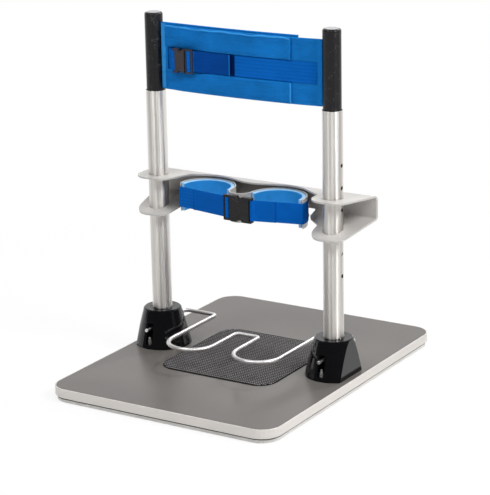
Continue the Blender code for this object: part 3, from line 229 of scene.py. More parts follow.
class Graph(Tree):
    """Builds the nodes of one material round its main shader."""

    QUARTER_TURN = 0.25

    def __init__(self, name: str) -> None:
        """Start a material with coordinates that stay with the piece.

        Args:
            name: The material's name.
        """
        self.material = bpy.data.materials.new(name)
        self.material.use_nodes = True
        super().__init__(self.material.node_tree)
        self.shader = self.nodes["Principled BSDF"]
        self.place = self.nodes.new("ShaderNodeTexCoord").outputs["Object"]
        self.normal: Socket | None = None

    def fix(self, socket: str, value: float | tuple[float, ...]) -> None:
        """Set a shader socket that is the same all over the surface."""
        self.shader.inputs[socket].default_value = value

    def parts(self) -> tuple[Socket, ...]:
        """Return the x, y and z of the piece's own coordinates."""
        node = self.nodes.new("ShaderNodeSeparateXYZ")
        self.feed(node.inputs[0], self.place)
        return tuple(node.outputs)

    def joined(self, x: Socket, y: Socket, z: float) -> Socket:
        """Return a vector put together from sockets or numbers."""
        return self.result("ShaderNodeCombineXYZ", {0: x, 1: y, 2: z})

    def stretched(self, x: float, y: float, z: float) -> Socket:
        """Return the piece's coordinates scaled along each axis."""
        return self.result("ShaderNodeMapping", {"Vector": self.place, "Scale": (x, y, z)})

    def noise(self, vector: Socket, scale: float, detail: Detail = Detail.PLAIN) -> Socket:
        """Return a soft random pattern of about 0 to 1, with a scale in waves per metre."""
        inputs = {"Vector": vector, "Scale": scale, "Detail": detail.value}
        return self.result("ShaderNodeTexNoise", inputs)

    def cells(self, scale: float) -> Socket:
        """Return the distance to the middle of the nearest cell."""
        inputs = {"Vector": self.place, "Scale": scale}
        return self.result("ShaderNodeTexVoronoi", inputs, "Distance")

    def cover(self, share: Socket, colour: Colour) -> None:
        """Lay a colour over the surface's present one by a share from 0 to 1."""
        target = self.shader.inputs["Base Color"]
        self.feed(target, self.mixed(share, target.links[0].from_socket, colour))

    def lengthwise(self, stretch: float) -> None:
        """Stretch highlights along an upright round piece.

        Args:
            stretch: How much, from 0 to 1.
        """
        self.fix("Anisotropic", stretch)
        self.fix("Anisotropic Rotation", self.QUARTER_TURN)
        turn = self.result("ShaderNodeTangent", {}, direction_type="RADIAL", axis="Z")
        self.feed(self.shader.inputs["Tangent"], turn)

    def bump(self, height: Socket, depth: float, strength: float = 1.0) -> None:
        """Raise the surface by a pattern, on top of earlier patterns.

        Args:
            height: The pattern, from 0 to 1.
            depth: How many metres a step from 0 to 1 stands for.
            strength: The share of it that shows.
        """
        inputs = {"Strength": strength, "Distance": depth, "Height": height}
        if self.normal is not None:
            inputs["Normal"] = self.normal
        self.normal = self.result("ShaderNodeBump", inputs)
        self.feed(self.shader.inputs["Normal"], self.normal)


def shade(colour: Colour, share: float) -> Colour:
    """Return a colour made darker or lighter by a share."""
    return tuple(min(1.0, c * share) for c in colour)


@dataclass(frozen=True)
class Finish:
    """A painted or moulded surface with a soft mottle and a fine grain."""

    name: str
    colour: Colour
    roughness: float
    metallic: float = 0.0
    mottle: float = 0.10
    mottle_scale: float = 18.0
    grain_scale: float = 900.0
    grain_depth: float = 0.00006
    rough_spread: float = 0.06
    rough_clip: float = 0.3
    rough_finer: float = 5.0
    specular: float = 0.5
    made: ClassVar[dict[str, bpy.types.Material]] = {}

    def material(self) -> bpy.types.Material:
        """Make the material on first use.

        Returns:
            The finish's material.
        """
        if self.name not in self.made:
            graph = Graph(self.name)
            self.made[self.name] = graph.material
            graph.material.diffuse_color = (*self.colour, 1.0)
            graph.fix("Metallic", self.metallic)
            graph.fix("Specular IOR Level", self.specular)
            self.dress(graph)
        return self.made[self.name]

    def paint(self, graph: Graph, share: Socket) -> None:
        """Colour the surface between a darker and a lighter tone by a pattern of 0 to 1."""
        dark, light = (shade(self.colour, 1 + sign * self.mottle) for sign in (-1, 1))
        graph.feed(graph.shader.inputs["Base Color"], graph.mixed(share, dark, light))

    def gloss(self, graph: Graph, share: Socket) -> None:
        """Vary the roughness a little by a pattern.

        Args:
            graph: The material's nodes.
            share: The pattern, from 0 to 1.
        """
        low, high = self.roughness - self.rough_spread, self.roughness + self.rough_spread
        value = graph.span(share, self.rough_clip, 1 - self.rough_clip, low, high)
        graph.feed(graph.shader.inputs["Roughness"], value)

    def grain(self, graph: Graph) -> None:
        """Raise a fine grain all over the surface."""
        graph.bump(graph.noise(graph.place, self.grain_scale), self.grain_depth)

    def dress(self, graph: Graph) -> None:
        """Add the surface's detail to its graph.

        Args:
            graph: The material's nodes.
        """
        self.paint(graph, graph.noise(graph.place, self.mottle_scale, Detail.RICH))
        finer = self.mottle_scale * self.rough_finer
        self.gloss(graph, graph.noise(graph.place, finer, Detail.FINE))
        self.grain(graph)


@dataclass(frozen=True)
class DrawnTube(Finish):
    """Satin steel tube with drawing lines that run its length, which also serve as painted
    reflection streaks, and painted shade inside.
    """

    lines: float = 14.0
    line_stretch: float = 0.9
    line_scale: float = 5.0
    line_start: float = 1.7
    broad_scale: float = 2.8
    broad_share: float = 0.55
    clip: float = 0.36
    scuff_scale: float = 130.0
    scuff_squash: float = 3.0
    scuff_clip: Span = (0.62, 0.72)
    scuff_depth: float = 0.00002
    stretch: float = 0.95
    bore: float = 0.0237
    # painted shade: the share of the colour left inside the bore
    bore_shade: float = 0.03
    button: float = 0.3306
    button_reach: float = 0.008

    def dress(self, graph: Graph) -> None:
        """Draw streaks round each upright's own axis, partly as painted reflection streaks, and
        paint shade inside its bore.

        Args:
            graph: The material's nodes.
        """
        graph.lengthwise(self.stretch)
        x, y, z = graph.parts()
        across = graph.math("SUBTRACT", graph.math("ABSOLUTE", x), POST_X)
        angle = graph.math("ARCTAN2", y, across)
        along = graph.product(z, self.line_stretch)
        broad = graph.noise(graph.joined(angle, along, 0.0), self.broad_scale, Detail.FINE)
        close = graph.joined(graph.product(angle, self.lines), along, self.line_start)
        fine = graph.noise(close, self.line_scale, Detail.FULL)
        # the streak tone is drawing lines and partly painted reflection streaks
        self.paint(graph, graph.sharpened(graph.weighed(broad, fine, self.broad_share), self.clip))
        self.gloss(graph, fine)
        graph.bump(fine, self.grain_depth)
        squashed = graph.stretched(1.0, 1.0, self.scuff_squash)
        scuff = graph.noise(squashed, self.scuff_scale, Detail.RICH)
        graph.bump(graph.span(scuff, *self.scuff_clip, 0.0, 1.0), self.scuff_depth)
        # painted shade inside the bore, kept off the snap button
        square = graph.math("ADD", graph.product(across, across), graph.product(y, y))
        off = graph.math("ABSOLUTE", graph.math("SUBTRACT", z, self.button))
        inside = graph.product(graph.math("LESS_THAN", square, self.bore ** 2),
                               graph.math("GREATER_THAN", off, self.button_reach))
        graph.cover(inside, shade(self.colour, self.bore_shade))


@dataclass(frozen=True)
class SpeckledCoat(Finish):
    """Powder coat with an orange-peel skin and small pale specks."""

    speck: Colour = (0.105, 0.100, 0.105)
    speck_scale: float = 260.0
    speck_size: float = 0.34
    speck_share: float = 0.75
    patch_scale: float = 55.0
    patch_clip: Span = (0.44, 0.66)
    stretch: float = 0.85

    def dress(self, graph: Graph) -> None:
        """Scatter specks over the mottled coat and stretch its highlights along the tube.

        Args:
            graph: The material's nodes.
        """
        graph.lengthwise(self.stretch)
        self.paint(graph, graph.noise(graph.place, self.mottle_scale, Detail.RICH))
        patch = graph.noise(graph.place, self.patch_scale, Detail.FINE)
        chance = graph.span(patch, *self.patch_clip, 0.0, self.speck_size)
        dots = graph.math("LESS_THAN", graph.cells(self.speck_scale), chance)
        graph.cover(graph.product(dots, self.speck_share), self.speck)
        self.gloss(graph, patch)
        self.grain(graph)


@dataclass(frozen=True)
class FoldedSheet(Finish):
    """Paint on a folded sheet, with painted shade deep in its channel where the flanges shade it.
    """

    wall: float = 0.061
    skin: float = 0.0012
    low: float = 0.352
    low_fade: float = 0.012
    high: float = 0.4555
    high_fade: float = 0.004
    fold: float = 0.412
    middle: Span = (0.13, 0.19)
    left: Span = (-0.25, -0.222)
    deep_rise: float = 0.035
    deep_share: float = 0.8
    floor: Span = (-0.03, 0.0)
    # painted shade: the share of the colour left where the channel lies in shadow
    painted_shade: float = 0.42

    def dress(self, graph: Graph) -> None:
        """Paint shade on the channel's inner wall and its left floor, over the usual mottle.

        Args:
            graph: The material's nodes.
        """
        super().dress(graph)
        x, y, z = graph.parts()
        wall = graph.product(graph.math("GREATER_THAN", y, self.wall - self.skin),
                             graph.math("LESS_THAN", y, self.wall + self.skin))
        middle = graph.span(graph.math("ABSOLUTE", x), *self.middle, 1.0, 0.0)
        left = graph.product(graph.span(x, *self.left, 0.0, 1.0), graph.math("LESS_THAN", x, 0.0))
        deep = graph.span(z, self.fold, self.fold + self.deep_rise, self.deep_share, 0.0)
        tall = graph.product(graph.span(z, self.low, self.low + self.low_fade, 0.0, 1.0),
                             graph.span(z, self.high - self.high_fade, self.high, 1.0, 0.0))
        wide = graph.math("MAXIMUM", middle, graph.product(left, deep))
        floor = graph.product(graph.span(y, *self.floor, 0.0, 1.0),
                              graph.math("LESS_THAN", z, self.fold), left)
        # painted shade on the channel's wall and floor, where the flanges shade them
        shade_mask = graph.math("MAXIMUM", graph.product(wall, wide, tall), floor)
        graph.cover(shade_mask, shade(self.colour, self.painted_shade))


@dataclass(frozen=True)
class Laminate(Finish):
    """Pressed laminate with a fine two-tone fleck and faint rub marks."""

    drift_scale: float = 3.5
    drift_share: float = 0.5
    fleck_scale: float = 700.0
    rub_scale: float = 6.0
    clip: float = 0.34

    def dress(self, graph: Graph) -> None:
        """Layer a fleck, a slow drift of tone and soft rub marks.

        Args:
            graph: The material's nodes.
        """
        drift = graph.noise(graph.place, self.drift_scale, Detail.FINE)
        fleck = graph.noise(graph.place, self.fleck_scale, Detail.FINE)
        self.paint(graph, graph.sharpened(graph.weighed(drift, fleck, self.drift_share), self.clip))
        self.gloss(graph, graph.noise(graph.place, self.rub_scale))
        graph.bump(fleck, self.grain_depth)


@dataclass(frozen=True)
class Woven(Finish):
    """Cloth or webbing whose threads cross along X and Z."""

    thread: float = 0.0011
    weave_depth: float = 0.00012
    weave_shows: float = 0.7
    weave_tone: float = 0.16
    yarn: Span = (260.0, 1500.0)
    cloud_share: float = 0.6
    clip: float = 0.25
    ribs: float = 0.0
    # painted shade: how much darker the valleys between the ridges are
    rib_start: float = 0.3941
    rib_shade: float = 0.15
    wave_scale: float = 45.0
    wave_depth: float = 0.0006
    wave_shows: float = 0.35
    crease: float = 0.0
    creases: Span = (13.0, 55.0)
    crease_shows: float = 0.6

    def drawn(self, graph: Graph, pitches: Span, detail: Detail) -> Socket:
        """Return a random pattern with one pitch across and another up the cloth."""
        across, along = pitches
        return graph.noise(graph.stretched(across, across, along), 1.0, detail)

    def dress(self, graph: Graph) -> None:
        """Cross two sets of threads and let the tone wander with them.

        Args:
            graph: The material's nodes.
        """
        x, _, z = graph.parts()
        turn = 2 * math.pi / self.thread
        warp, weft = (graph.math("SINE", graph.product(way, turn)) for way in (x, z))
        height = graph.math("MULTIPLY_ADD", graph.product(warp, weft), 0.5, 0.5)
        cloud = graph.noise(graph.place, self.mottle_scale, Detail.RICH)
        yarn = self.drawn(graph, self.yarn, Detail.PLAIN)
        tone = graph.weighed(cloud, yarn, self.cloud_share)
        tone = graph.math("SUBTRACT", tone, self.weave_tone / 2)
        tone = graph.math("MULTIPLY_ADD", height, self.weave_tone, tone)
        # painted shade: the tone is darker in the valleys between the webbing's ridges
        if self.ribs:
            rise = graph.math("SUBTRACT", z, self.rib_start)
            rib = graph.math("COSINE", graph.product(rise, 2 * math.pi / self.ribs))
            tone = graph.math("MULTIPLY_ADD", rib, -self.rib_shade, tone)
        self.paint(graph, graph.sharpened(tone, self.clip))
        self.gloss(graph, yarn)
        graph.bump(height, self.weave_depth, self.weave_shows)
        wave = graph.noise(graph.place, self.wave_scale, Detail.FINE)
        graph.bump(wave, self.wave_depth, self.wave_shows)
        if self.crease:
            creases = self.drawn(graph, self.creases, Detail.FINE)
            graph.bump(creases, self.crease, self.crease_shows)


@dataclass(frozen=True)
class Foam(Finish):
    """Closed-cell foam with a skin of small cells."""

    cell_scale: float = 700.0
    cloud_share: float = 0.7
    clip: float = 0.3
    dent_scale: float = 90.0
    dent_depth: float = 0.0004
    dent_shows: float = 0.4

    def dress(self, graph: Graph) -> None:
        """Dimple the foam with cells and broad dents.

        Args:
            graph: The material's nodes.
        """
        cloud = graph.noise(graph.place, self.mottle_scale, Detail.FINE)
        cells = graph.cells(self.cell_scale)
        self.paint(graph, graph.sharpened(graph.weighed(cloud, cells, self.cloud_share), self.clip))
        self.gloss(graph, cloud)
        graph.bump(cells, self.grain_depth)
        graph.bump(graph.noise(graph.place, self.dent_scale), self.dent_depth, self.dent_shows)


class Finishes:
    """Every finish on the frame, by the surface that it is for."""

    STEEL = DrawnTube("satin_steel", (0.83, 0.80, 0.765), 0.41, metallic=1.0, mottle=0.18,
                      grain_depth=0.00002, rough_spread=0.05)
    WIRE = Finish("wire_steel", (0.80, 0.785, 0.77), 0.42, metallic=1.0, mottle=0.06,
                  mottle_scale=60.0, grain_scale=1600.0, grain_depth=0.00002)
    ZINC = Finish("bright_zinc", (0.70, 0.70, 0.69), 0.28, metallic=1.0, mottle=0.12,
                  mottle_scale=90.0, grain_scale=2200.0, grain_depth=0.00002)
    COAT = SpeckledCoat("satin_black_coat", (0.0036, 0.0034, 0.0048), 0.32, mottle=0.18,
                        grain_scale=340.0, grain_depth=0.00022, specular=0.34)
    GLOSS = Finish("foot_gloss_black", (0.003, 0.003, 0.004), 0.07, mottle_scale=30.0,
                   grain_scale=90.0, grain_depth=0.00005, rough_spread=0.02, specular=0.38)
    GREY = Finish("grey_paint", (0.530, 0.512, 0.492), 0.36, mottle=0.05, mottle_scale=9.0,
                  grain_scale=620.0, grain_depth=0.00005)
    BRACKET = FoldedSheet("bracket_paint", (0.520, 0.502, 0.482), 0.36, mottle=0.05,
                          mottle_scale=9.0, grain_scale=620.0, grain_depth=0.00005)
    LAMINATE = Laminate("grey_laminate", (0.148, 0.136, 0.128), 0.26, mottle=0.07,
                        grain_depth=0.00002, rough_spread=0.004, specular=0.21)
    EDGE = Finish("pale_edge", (0.70, 0.665, 0.63), 0.42, mottle=0.04, mottle_scale=12.0,
                  grain_scale=800.0, grain_depth=0.00004)
    PLATE = Finish("plate_paint", (0.82, 0.80, 0.77), 0.40, mottle=0.06, mottle_scale=12.0,
                   grain_scale=700.0)
    # the gasket's own dark, and the bead that is painted shadow under the edging
    GASKET = Finish("dark_gasket_and_shadow_bead", (0.020, 0.020, 0.020), 0.75, mottle=0.2)
    RUBBER = Finish("black_rubber", (0.010, 0.010, 0.010), 0.70, mottle=0.2, specular=0.25)
    CAP = Finish("pale_cap", (0.40, 0.39, 0.41), 0.42, mottle=0.04, mottle_scale=20.0,
                 grain_depth=0.00005)
    PLASTIC = Finish("buckle_plastic", (0.0060, 0.0055, 0.0056), 0.30, mottle=0.15,
                     mottle_scale=40.0, grain_scale=1700.0, specular=0.3)
    BELT_PLASTIC = replace(PLASTIC, name="belt_buckle_plastic", colour=(0.036, 0.029, 0.031),
                           roughness=0.34)
    FOAM = Foam("blue_foam", (0.030, 0.310, 0.74), 0.70, mottle=0.12, mottle_scale=30.0,
                grain_depth=0.00014, specular=0.1)
    FOAM_EDGE = Foam("cut_foam_edge", (0.34, 0.60, 0.88), 0.70, mottle=0.08, mottle_scale=60.0,
                     grain_depth=0.00018, specular=0.2)
    WEBBING = Woven("blue_webbing", (0.0012, 0.108, 0.450), 0.70, mottle=0.16, mottle_scale=25.0,
                    specular=0.05, ribs=WEB_WIDTH / WEB_RIDGES)
    SMOOTH = replace(WEBBING, name="smooth_webbing", colour=(0.0006, 0.098, 0.430), mottle=0.13,
                     ribs=0.0)
    # the belt tail's darker webbing, and the painted shadow line at the knee straps' cut ends
    TAIL = replace(SMOOTH, name="dark_webbing_tail_and_end_shadow", colour=(0.0002, 0.050, 0.262),
                   roughness=0.66, mottle=0.10)
    # painted shadow on the strap beside the belt tail's lifted fold
    CREASED = replace(SMOOTH, name="painted_fold_shadow_webbing", colour=(0.0002, 0.012, 0.075), mottle=0.10,
                      specular=0.03)
    CLOTH = Woven("woven_belt_cloth", (0.005, 0.155, 0.490), 0.66, mottle=0.34, mottle_scale=16.0,
                  specular=0.06, thread=0.0006, crease=0.0085)
    # the belt's binding, and the painted highlight on the tail's fold
    BINDING = Woven("belt_binding", (0.006, 0.175, 0.53), 0.62, mottle=0.12, mottle_scale=40.0,
                    specular=0.06, thread=0.0009)
    # pale hem tape and top hem, and the painted highlight on the lower flap's end
    PALE = replace(BINDING, name="worn_hem", colour=(0.035, 0.285, 0.70), mottle=0.16)
    THREAD = Finish("stitch_thread", (0.002, 0.070, 0.30), 0.65, mottle=0.2, mottle_scale=300.0,
                    grain_scale=3000.0, grain_depth=0.00008, specular=0.2)
    MAT = Finish("mesh_mat", (0.20, 0.19, 0.19), 0.62, mottle=0.2, mottle_scale=40.0,
                 grain_scale=2500.0, grain_depth=0.00010, specular=0.3)
    MAT_DARK = Finish("mesh_mat_ground", (0.009, 0.008, 0.009), 0.85, mottle=0.2, specular=0.1)


def both(name: str) -> tuple[str, str]:
    """Return a node's name on the left and on the right side."""
    return f"{name}_left", f"{name}_right"


def numbered(name: str, count: int) -> list[str]:
    """Return a node's name with each number up to a count."""
    return [f"{name}_{i}" for i in range(1, count + 1)]


def eased(share: float) -> float:
    """Return a share held between 0 and 1, with a soft start and end."""
    held = min(1.0, max(0.0, share))
    return held * held * (3 - 2 * held)


def spread(start: float, end: float, parts: int) -> list[float]:
    """Return evenly spread values from a start to an end, both included."""
    return [start + (end - start) * i / parts for i in range(parts + 1)]


def arc(centre: tuple[float, float], radius: float, start: float, end: float, steps: int) -> Plan:
    """Return plan points along an arc, with its angles in radians."""
    x, y = centre
    return [(x + radius * math.cos(a), y + radius * math.sin(a)) for a in spread(start, end, steps)]


def rounded_rim(x: float, y: float, radius: float, first: int = 0) -> Plan:
    """Return the outline of a rectangle with round corners, anticlockwise.

    Args:
        x: How far out the corners' centres are along X.
        y: How far out they are along Y.
        radius: The corners' radius.
        first: The quarter turn that it starts at; 0 is the corner at +X and +Y.

    Returns:
        The outline's points.
    """
    signs = ((1, 1), (-1, 1), (-1, -1), (1, -1))
    quarter = math.pi / 2
    rim: Plan = []
    for turn in range(first, first + len(signs)):
        across, along = signs[turn % len(signs)]
        rim += arc((across * x, along * y), radius, turn * quarter, (turn + 1) * quarter,
                   CORNER_STEPS)
    return rim


def filleted(corners: Sequence[Corner], steps: int = 6) -> Plan:
    """Return a plan path through corners, each rounded by its own radius.

    Args:
        corners: Points as x, y and radius.
        steps: Pieces in each rounded corner.

    Returns:
        The path's points.
    """
    path: Plan = [tuple(corners[0][:2])]
    for before, corner, after in zip(corners, corners[1:], corners[2:]):
        here = Vector(corner[:2])
        back = (Vector(before[:2]) - here).normalized()
        ahead = (Vector(after[:2]) - here).normalized()
        half = back.angle(ahead) / 2
        reach = corner[2] / math.tan(half)
        middle = here + (back + ahead).normalized() * (corner[2] / math.sin(half))
        first = here + back * reach - middle
        sweep = first.angle_signed(here + ahead * reach - middle)
        path += [tuple(middle + Matrix.Rotation(-sweep * i / steps, 2) @ first)
                 for i in range(steps + 1)]
    path.append(tuple(corners[-1][:2]))
    return path


def refined(path: Plan, step: float, ends: float = 0.0) -> Plan:
    """Return a path with no piece longer than a step and short pieces at its ends.

    Args:
        path: The plan points.
        step: The longest piece.
        ends: How far in from each end the pieces are short; 0 for none.

    Returns:
        The path's points.
    """
    marks = [0.0]
    for a, b in zip(path, path[1:]):
        marks.append(marks[-1] + math.dist(a, b))
    whole = marks[-1]
    wanted = set(marks)
    for low, high in zip(marks, marks[1:]):
        count = max(1, math.ceil((high - low) / step))
        wanted.update(spread(low, high, count)[:-1])
    if ends:
        for share in (*RIM_SHARES, 1.0):
            wanted.update((ends * share, whole - ends * share))
    result: Plan = []
    last, index = -1.0, 0
    for mark in sorted(wanted):
        if mark - last < SAME_PLACE:
            continue
        last = mark
        while index < len(marks) - 2 and marks[index + 1] < mark:
            index += 1
        share = (mark - marks[index]) / max(marks[index + 1] - marks[index], TINY)
        a, b = path[index], path[index + 1]
        result.append((a[0] + (b[0] - a[0]) * share, a[1] + (b[1] - a[1]) * share))
    return result


def ring_faces(rings: int, size: int, ends: Ends) -> Faces:
    """Return the faces that join each ring of points to the next.

    Args:
        rings: How many rings there are, one after another.
        size: Points in each ring.
        ends: What is done at the first and the last ring.

    Returns:
        The faces.
    """
    faces: Faces = []
    for i in range(rings if ends is Ends.JOINED else rings - 1):
        here, there = i * size, (i + 1) % rings * size
        for j in range(size):
            k = (j + 1) % size
            faces.append((here + j, here + k, there + k, there + j))
    if ends is Ends.CAPPED:
        faces += [tuple(range(size))[::-1], tuple(range((rings - 1) * size, rings * size))]
    return faces


def tube_shape(path: Sequence[Sequence[float]], radius: float, sides: int = 10) -> Shape:
    """Return a round bar along a path, closed at its ends.

    Args:
        path: Points in space.
        radius: The bar's radius.
        sides: Faces round it.

    Returns:
        Its points and its faces.
    """
    spots = [Vector(p) for p in path]
    verts: list[Point] = []
    turn = None
    for i, here in enumerate(spots):
        ahead = spots[min(i + 1, len(spots) - 1)] - spots[max(i - 1, 0)]
        along = ahead.normalized()
        if turn is None:
            turn = along.orthogonal().normalized()
        turn = (turn - along * turn.dot(along)).normalized()
        other = along.cross(turn)
        for j in range(sides):
            a = 2 * math.pi * j / sides
            verts.append(tuple(here + (turn * math.cos(a) + other * math.sin(a)) * radius))
    return verts, ring_faces(len(spots), sides, Ends.CAPPED)


def merged(shapes: Iterable[Shape]) -> Shape:
    """Return several shapes as one.

    Args:
        shapes: The points and faces of each.

    Returns:
        The points and faces of all.
    """
    verts: list[Point] = []
    faces: Faces = []
    for more, loops in shapes:
        start = len(verts)
        verts += more
        faces += [tuple(start + i for i in loop) for loop in loops]
    return verts, faces


@dataclass(frozen=True)
class Stitch:
    """One stitch of thread, a small raised bar on a face."""

    middle: Vector
    along: Vector
    out: Vector = FRONT
    LENGTH: ClassVar[float] = 0.0026
    HALF: ClassVar[float] = 0.00038
    RISE: ClassVar[float] = 0.00042
    SECTIONS: ClassVar[tuple[Span, ...]] = ((-0.5, 0.25), (-0.22, 1.0), (0.22, 1.0), (0.5, 0.25))

    def shape(self) -> Shape:
        """Return the stitch's closed mesh.

        Returns:
            Its points and its faces.
        """
        side = self.along.cross(self.out).normalized() * self.HALF
        lift = self.out.normalized() * self.RISE
        verts: list[Point] = []
        for share, size in self.SECTIONS:
            spot = self.middle + self.along.normalized() * (self.LENGTH * share)
            corners = (spot + side * size - lift * 0.5, spot + lift * size,
                       spot - side * size - lift * 0.5)
            verts += [tuple(corner) for corner in corners]
        return verts, ring_faces(len(self.SECTIONS), len(corners), Ends.CAPPED)


def upright_row(x: float, y: float, heights: Iterable[float], out: Vector = FRONT) -> list[Stitch]:
    """Return an upright row of stitches on a face that looks out."""
    return [Stitch(Vector((x, y, z)), UP, out) for z in heights]


def level(run: float, rise: float) -> float:
    """Return no relief at all, for a band that is plain."""
    return 0.0


@dataclass
class Band:
    """A soft upright band that follows a plan path, thinner at its edges."""

    path: Plan
    low: float
    high: float
    thickness: float
    edge: float
    thin: float
    step: float = 0.006
    row: float = 0.004
    swell: Relief = level
    ripple: Relief = level
    front_only: bool = False

    def heights(self) -> list[float]:
        """Return the heights of the rows, close together at both edges.

        Returns:
            Heights over the band's lower edge.
        """
        tall = self.high - self.low
        count = max(2, round((tall - 2 * self.edge) / self.row))
        inner = [self.edge + (tall - 2 * self.edge) * i / count for i in range(count + 1)]
        rim = [self.edge * share for share in (0.0, *RIM_SHARES)]
        return rim + inner + [tall - r for r in reversed(rim)]

    def share(self, run: float, rise: float, whole: float) -> float:
        """Return the share of the full thickness at a place on the band.

        Args:
            run: How far along the band it is.
            rise: How far up it is.
            whole: The band's length.

        Returns:
            The share, 1 away from the edges.
        """
        depth = min(run, whole - run, rise, self.high - self.low - rise)
        near = 1 - min(1.0, max(0.0, depth / self.edge))
        return self.thin + (1 - self.thin) * math.sqrt(max(0.0, 1 - near * near))

    def points(self) -> list[Vector]:
        """Return the plan points that the band's rows of faces lie between."""
        return [Vector(p) for p in refined(self.path, self.step, self.edge)]

    def runs(self) -> list[float]:
        """Return how far along the band each of its plan points is.

        Returns:
            Lengths from the band's start.
        """
        points = self.points()
        runs = [0.0]
        for a, b in zip(points, points[1:]):
            runs.append(runs[-1] + (b - a).length)
        return runs

    def ends_in(self, item: bpy.types.Object, finish: Finish, length: float,
                stop: float = 0.0) -> None:
        """Give the last part of a band's mesh a finish of its own.

        Args:
            item: The piece made from the band.
            finish: The surface of that part.
            length: Where it starts, back from the band's end.
            stop: Where it stops, back from the band's end.
        """
        runs = self.runs()
        ring = 2 * len(self.heights())
        item.data.materials.append(finish.material())
        index = len(item.data.materials) - 1
        for i, (a, b) in enumerate(zip(runs, runs[1:])):
            if runs[-1] - length < (a + b) / 2 < runs[-1] - stop:
                for face in item.data.polygons[i * ring:(i + 1) * ring]:
                    face.material_index = index

    def moves(self, run: float, whole: float, face: int) -> list[tuple[float, float]]:
        """Return where one face of the band lies at a place along it.

        Args:
            run: How far along the band the place is.
            whole: The band's length.
            face: 1 for the front, which goes up, or -1 for the back, which goes down.

        Returns:
            The way out from the path and the height of each row.
        """
        places = []
        for rise in self.heights()[::face]:
            full = self.share(run, rise, whole)
            move = self.ripple(run, rise)
            if face > 0 or not self.front_only:
                move += face * (self.thickness / 2 * full + self.swell(run, rise) * full)
            else:
                move -= self.thickness / 2
            places.append((move, self.low + rise))
        return places

    def shape(self) -> Shape:
        """Return the band's closed mesh.

        Returns:
            Its points and its faces.
        """
        points, runs = self.points(), self.runs()
        verts: list[Point] = []
        for i, here in enumerate(points):
            before = (here - points[i - 1]).normalized() if i else None
            after = (points[i + 1] - here).normalized() if i + 1 < len(points) else None
            along = ((before or after) + (after or before)).normalized()
            side = Vector((along.y, -along.x)) / max(along.dot(before or after), MITRE)
            for face in (1, -1):
                for move, height in self.moves(runs[i], runs[-1], face):
                    spot = here + side * move
                    verts.append((spot.x, spot.y, height))
        rows = len(self.heights())
        ring = 2 * rows
        faces = ring_faces(len(points), ring, Ends.OPEN)
        for start in (0, (len(points) - 1) * ring):
            for j in range(rows - 1):
                faces.append((start + j, start + j + 1, start + ring - 2 - j, start + ring - 1 - j))
        return verts, faces


@dataclass
class Cushion:
    """Fills a sewn cover with a short cloth simulation, which crowns and creases it."""

    pressure: float = 11.0
    frames: int = 20
    limit: float = 0.0012

    def filled(self, shape: Shape, seam: Callable[[float], bool]) -> Shape:
        """Return a cover blown up to the front between its seams.

        Args:
            shape: The flat cover's points and faces.
            seam: Tells whether points at a height are sewn down.

        Returns:
            The same cover with its free points moved.
        """
        verts, faces = shape
        mesh = bpy.data.meshes.new("cover_trial")
        mesh.from_pydata(verts, [], faces)
        item = bpy.data.objects.new("cover_trial", mesh)
        scene = bpy.context.scene
        scene.collection.objects.link(item)
        held = item.vertex_groups.new(name="sewn")
        held.add([i for i, v in enumerate(verts) if seam(v[2])], 1.0, "REPLACE")
        cloth = item.modifiers.new("filling", "CLOTH")
        cloth.settings.vertex_group_mass = held.name
        cloth.settings.use_pressure = True
        cloth.settings.uniform_pressure_force = self.pressure
        cloth.settings.effector_weights.gravity = 0.0
        cloth.point_cache.frame_end = self.frames
        for frame in range(1, self.frames + 1):
            scene.frame_set(frame)
        blown = item.evaluated_get(bpy.context.evaluated_depsgraph_get()).data
        rises = [max(0.0, v[1] - b.co.y) for v, b in zip(verts, blown.vertices)]
        scene.frame_set(1)
        bpy.data.objects.remove(item)
        bpy.data.meshes.remove(mesh)
        moved = [(x, y - self.limit * math.tanh(rise / self.limit), z)
                 for (x, y, z), rise in zip(verts, rises)]
        LOG.info("filled a cover by up to %.4f m", max(rises))
        return moved, faces


@dataclass
class Workshop:
    """Makes finished pieces and fastens them to the frame's bodies."""

    frame: dict
    bevel_steps: int = 2

    def piece(self, name: str, shape: Shape, finish: Finish, body: Body | None, *,
              stands_for: str | None = None, slot: str, crease: float = SHARP) -> bpy.types.Object:
        """Make a piece from a shape and let it ride on a body.

        Args:
            name: The piece's name.
            shape: Its points and faces.
            finish: Its surface.
            body: The body that carries it, or none for a piece that no body carries.
            stands_for: The node that it replaces, if any.
            slot: The record's material slot that it belongs to. Not used.
            crease: Edges sharper than this many degrees stay sharp.

        Returns:
            The new object.
        """
        mesh = bpy.data.meshes.new(name)
        verts, faces = shape
        mesh.from_pydata(verts, [], faces)
        form = bmesh.new()
        form.from_mesh(mesh)
        bmesh.ops.recalc_face_normals(form, faces=form.faces)
        form.to_mesh(mesh)
        form.free()
        mesh.materials.append(finish.material())
        mesh.shade_smooth()
        mesh.set_sharp_from_angle(angle=math.radians(crease))
        item = bpy.data.objects.new(name, mesh)
        bpy.context.scene.collection.objects.link(item)
        if body is not None:
            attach(item, body.value)
        if stands_for:
            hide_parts(stands_for)
        LOG.info("made %s with %d faces", name, len(mesh.polygons))
        return item

    def dress(self, finish: Finish, *nodes: str, round_by: float = 0.0) -> None:
        """Give nodes of the frame a finish and, if asked, slightly rounded edges.

        Args:
            finish: The surface to give.
            nodes: The nodes' names.
            round_by: The width of the rounding in metres.
        """
        for node in nodes:
            item = self.frame["nodes"][node]
            item.data.materials.clear()
            item.data.materials.append(finish.material())
            if round_by:
                step = item.modifiers.new("soft_edges", "BEVEL")
                step.width = round_by
                step.segments = self.bevel_steps
                step.limit_method = "ANGLE"
                step.angle_limit = math.radians(SHARP)
                step.harden_normals = False
            LOG.info("dressed %s", node)


@dataclass
class Assembly:
    """A sub-assembly of the frame, built in a workshop."""

    shop: Workshop

    def build(self) -> None:
        """Dress the sub-assembly's nodes and make its pieces."""
        raise NotImplementedError


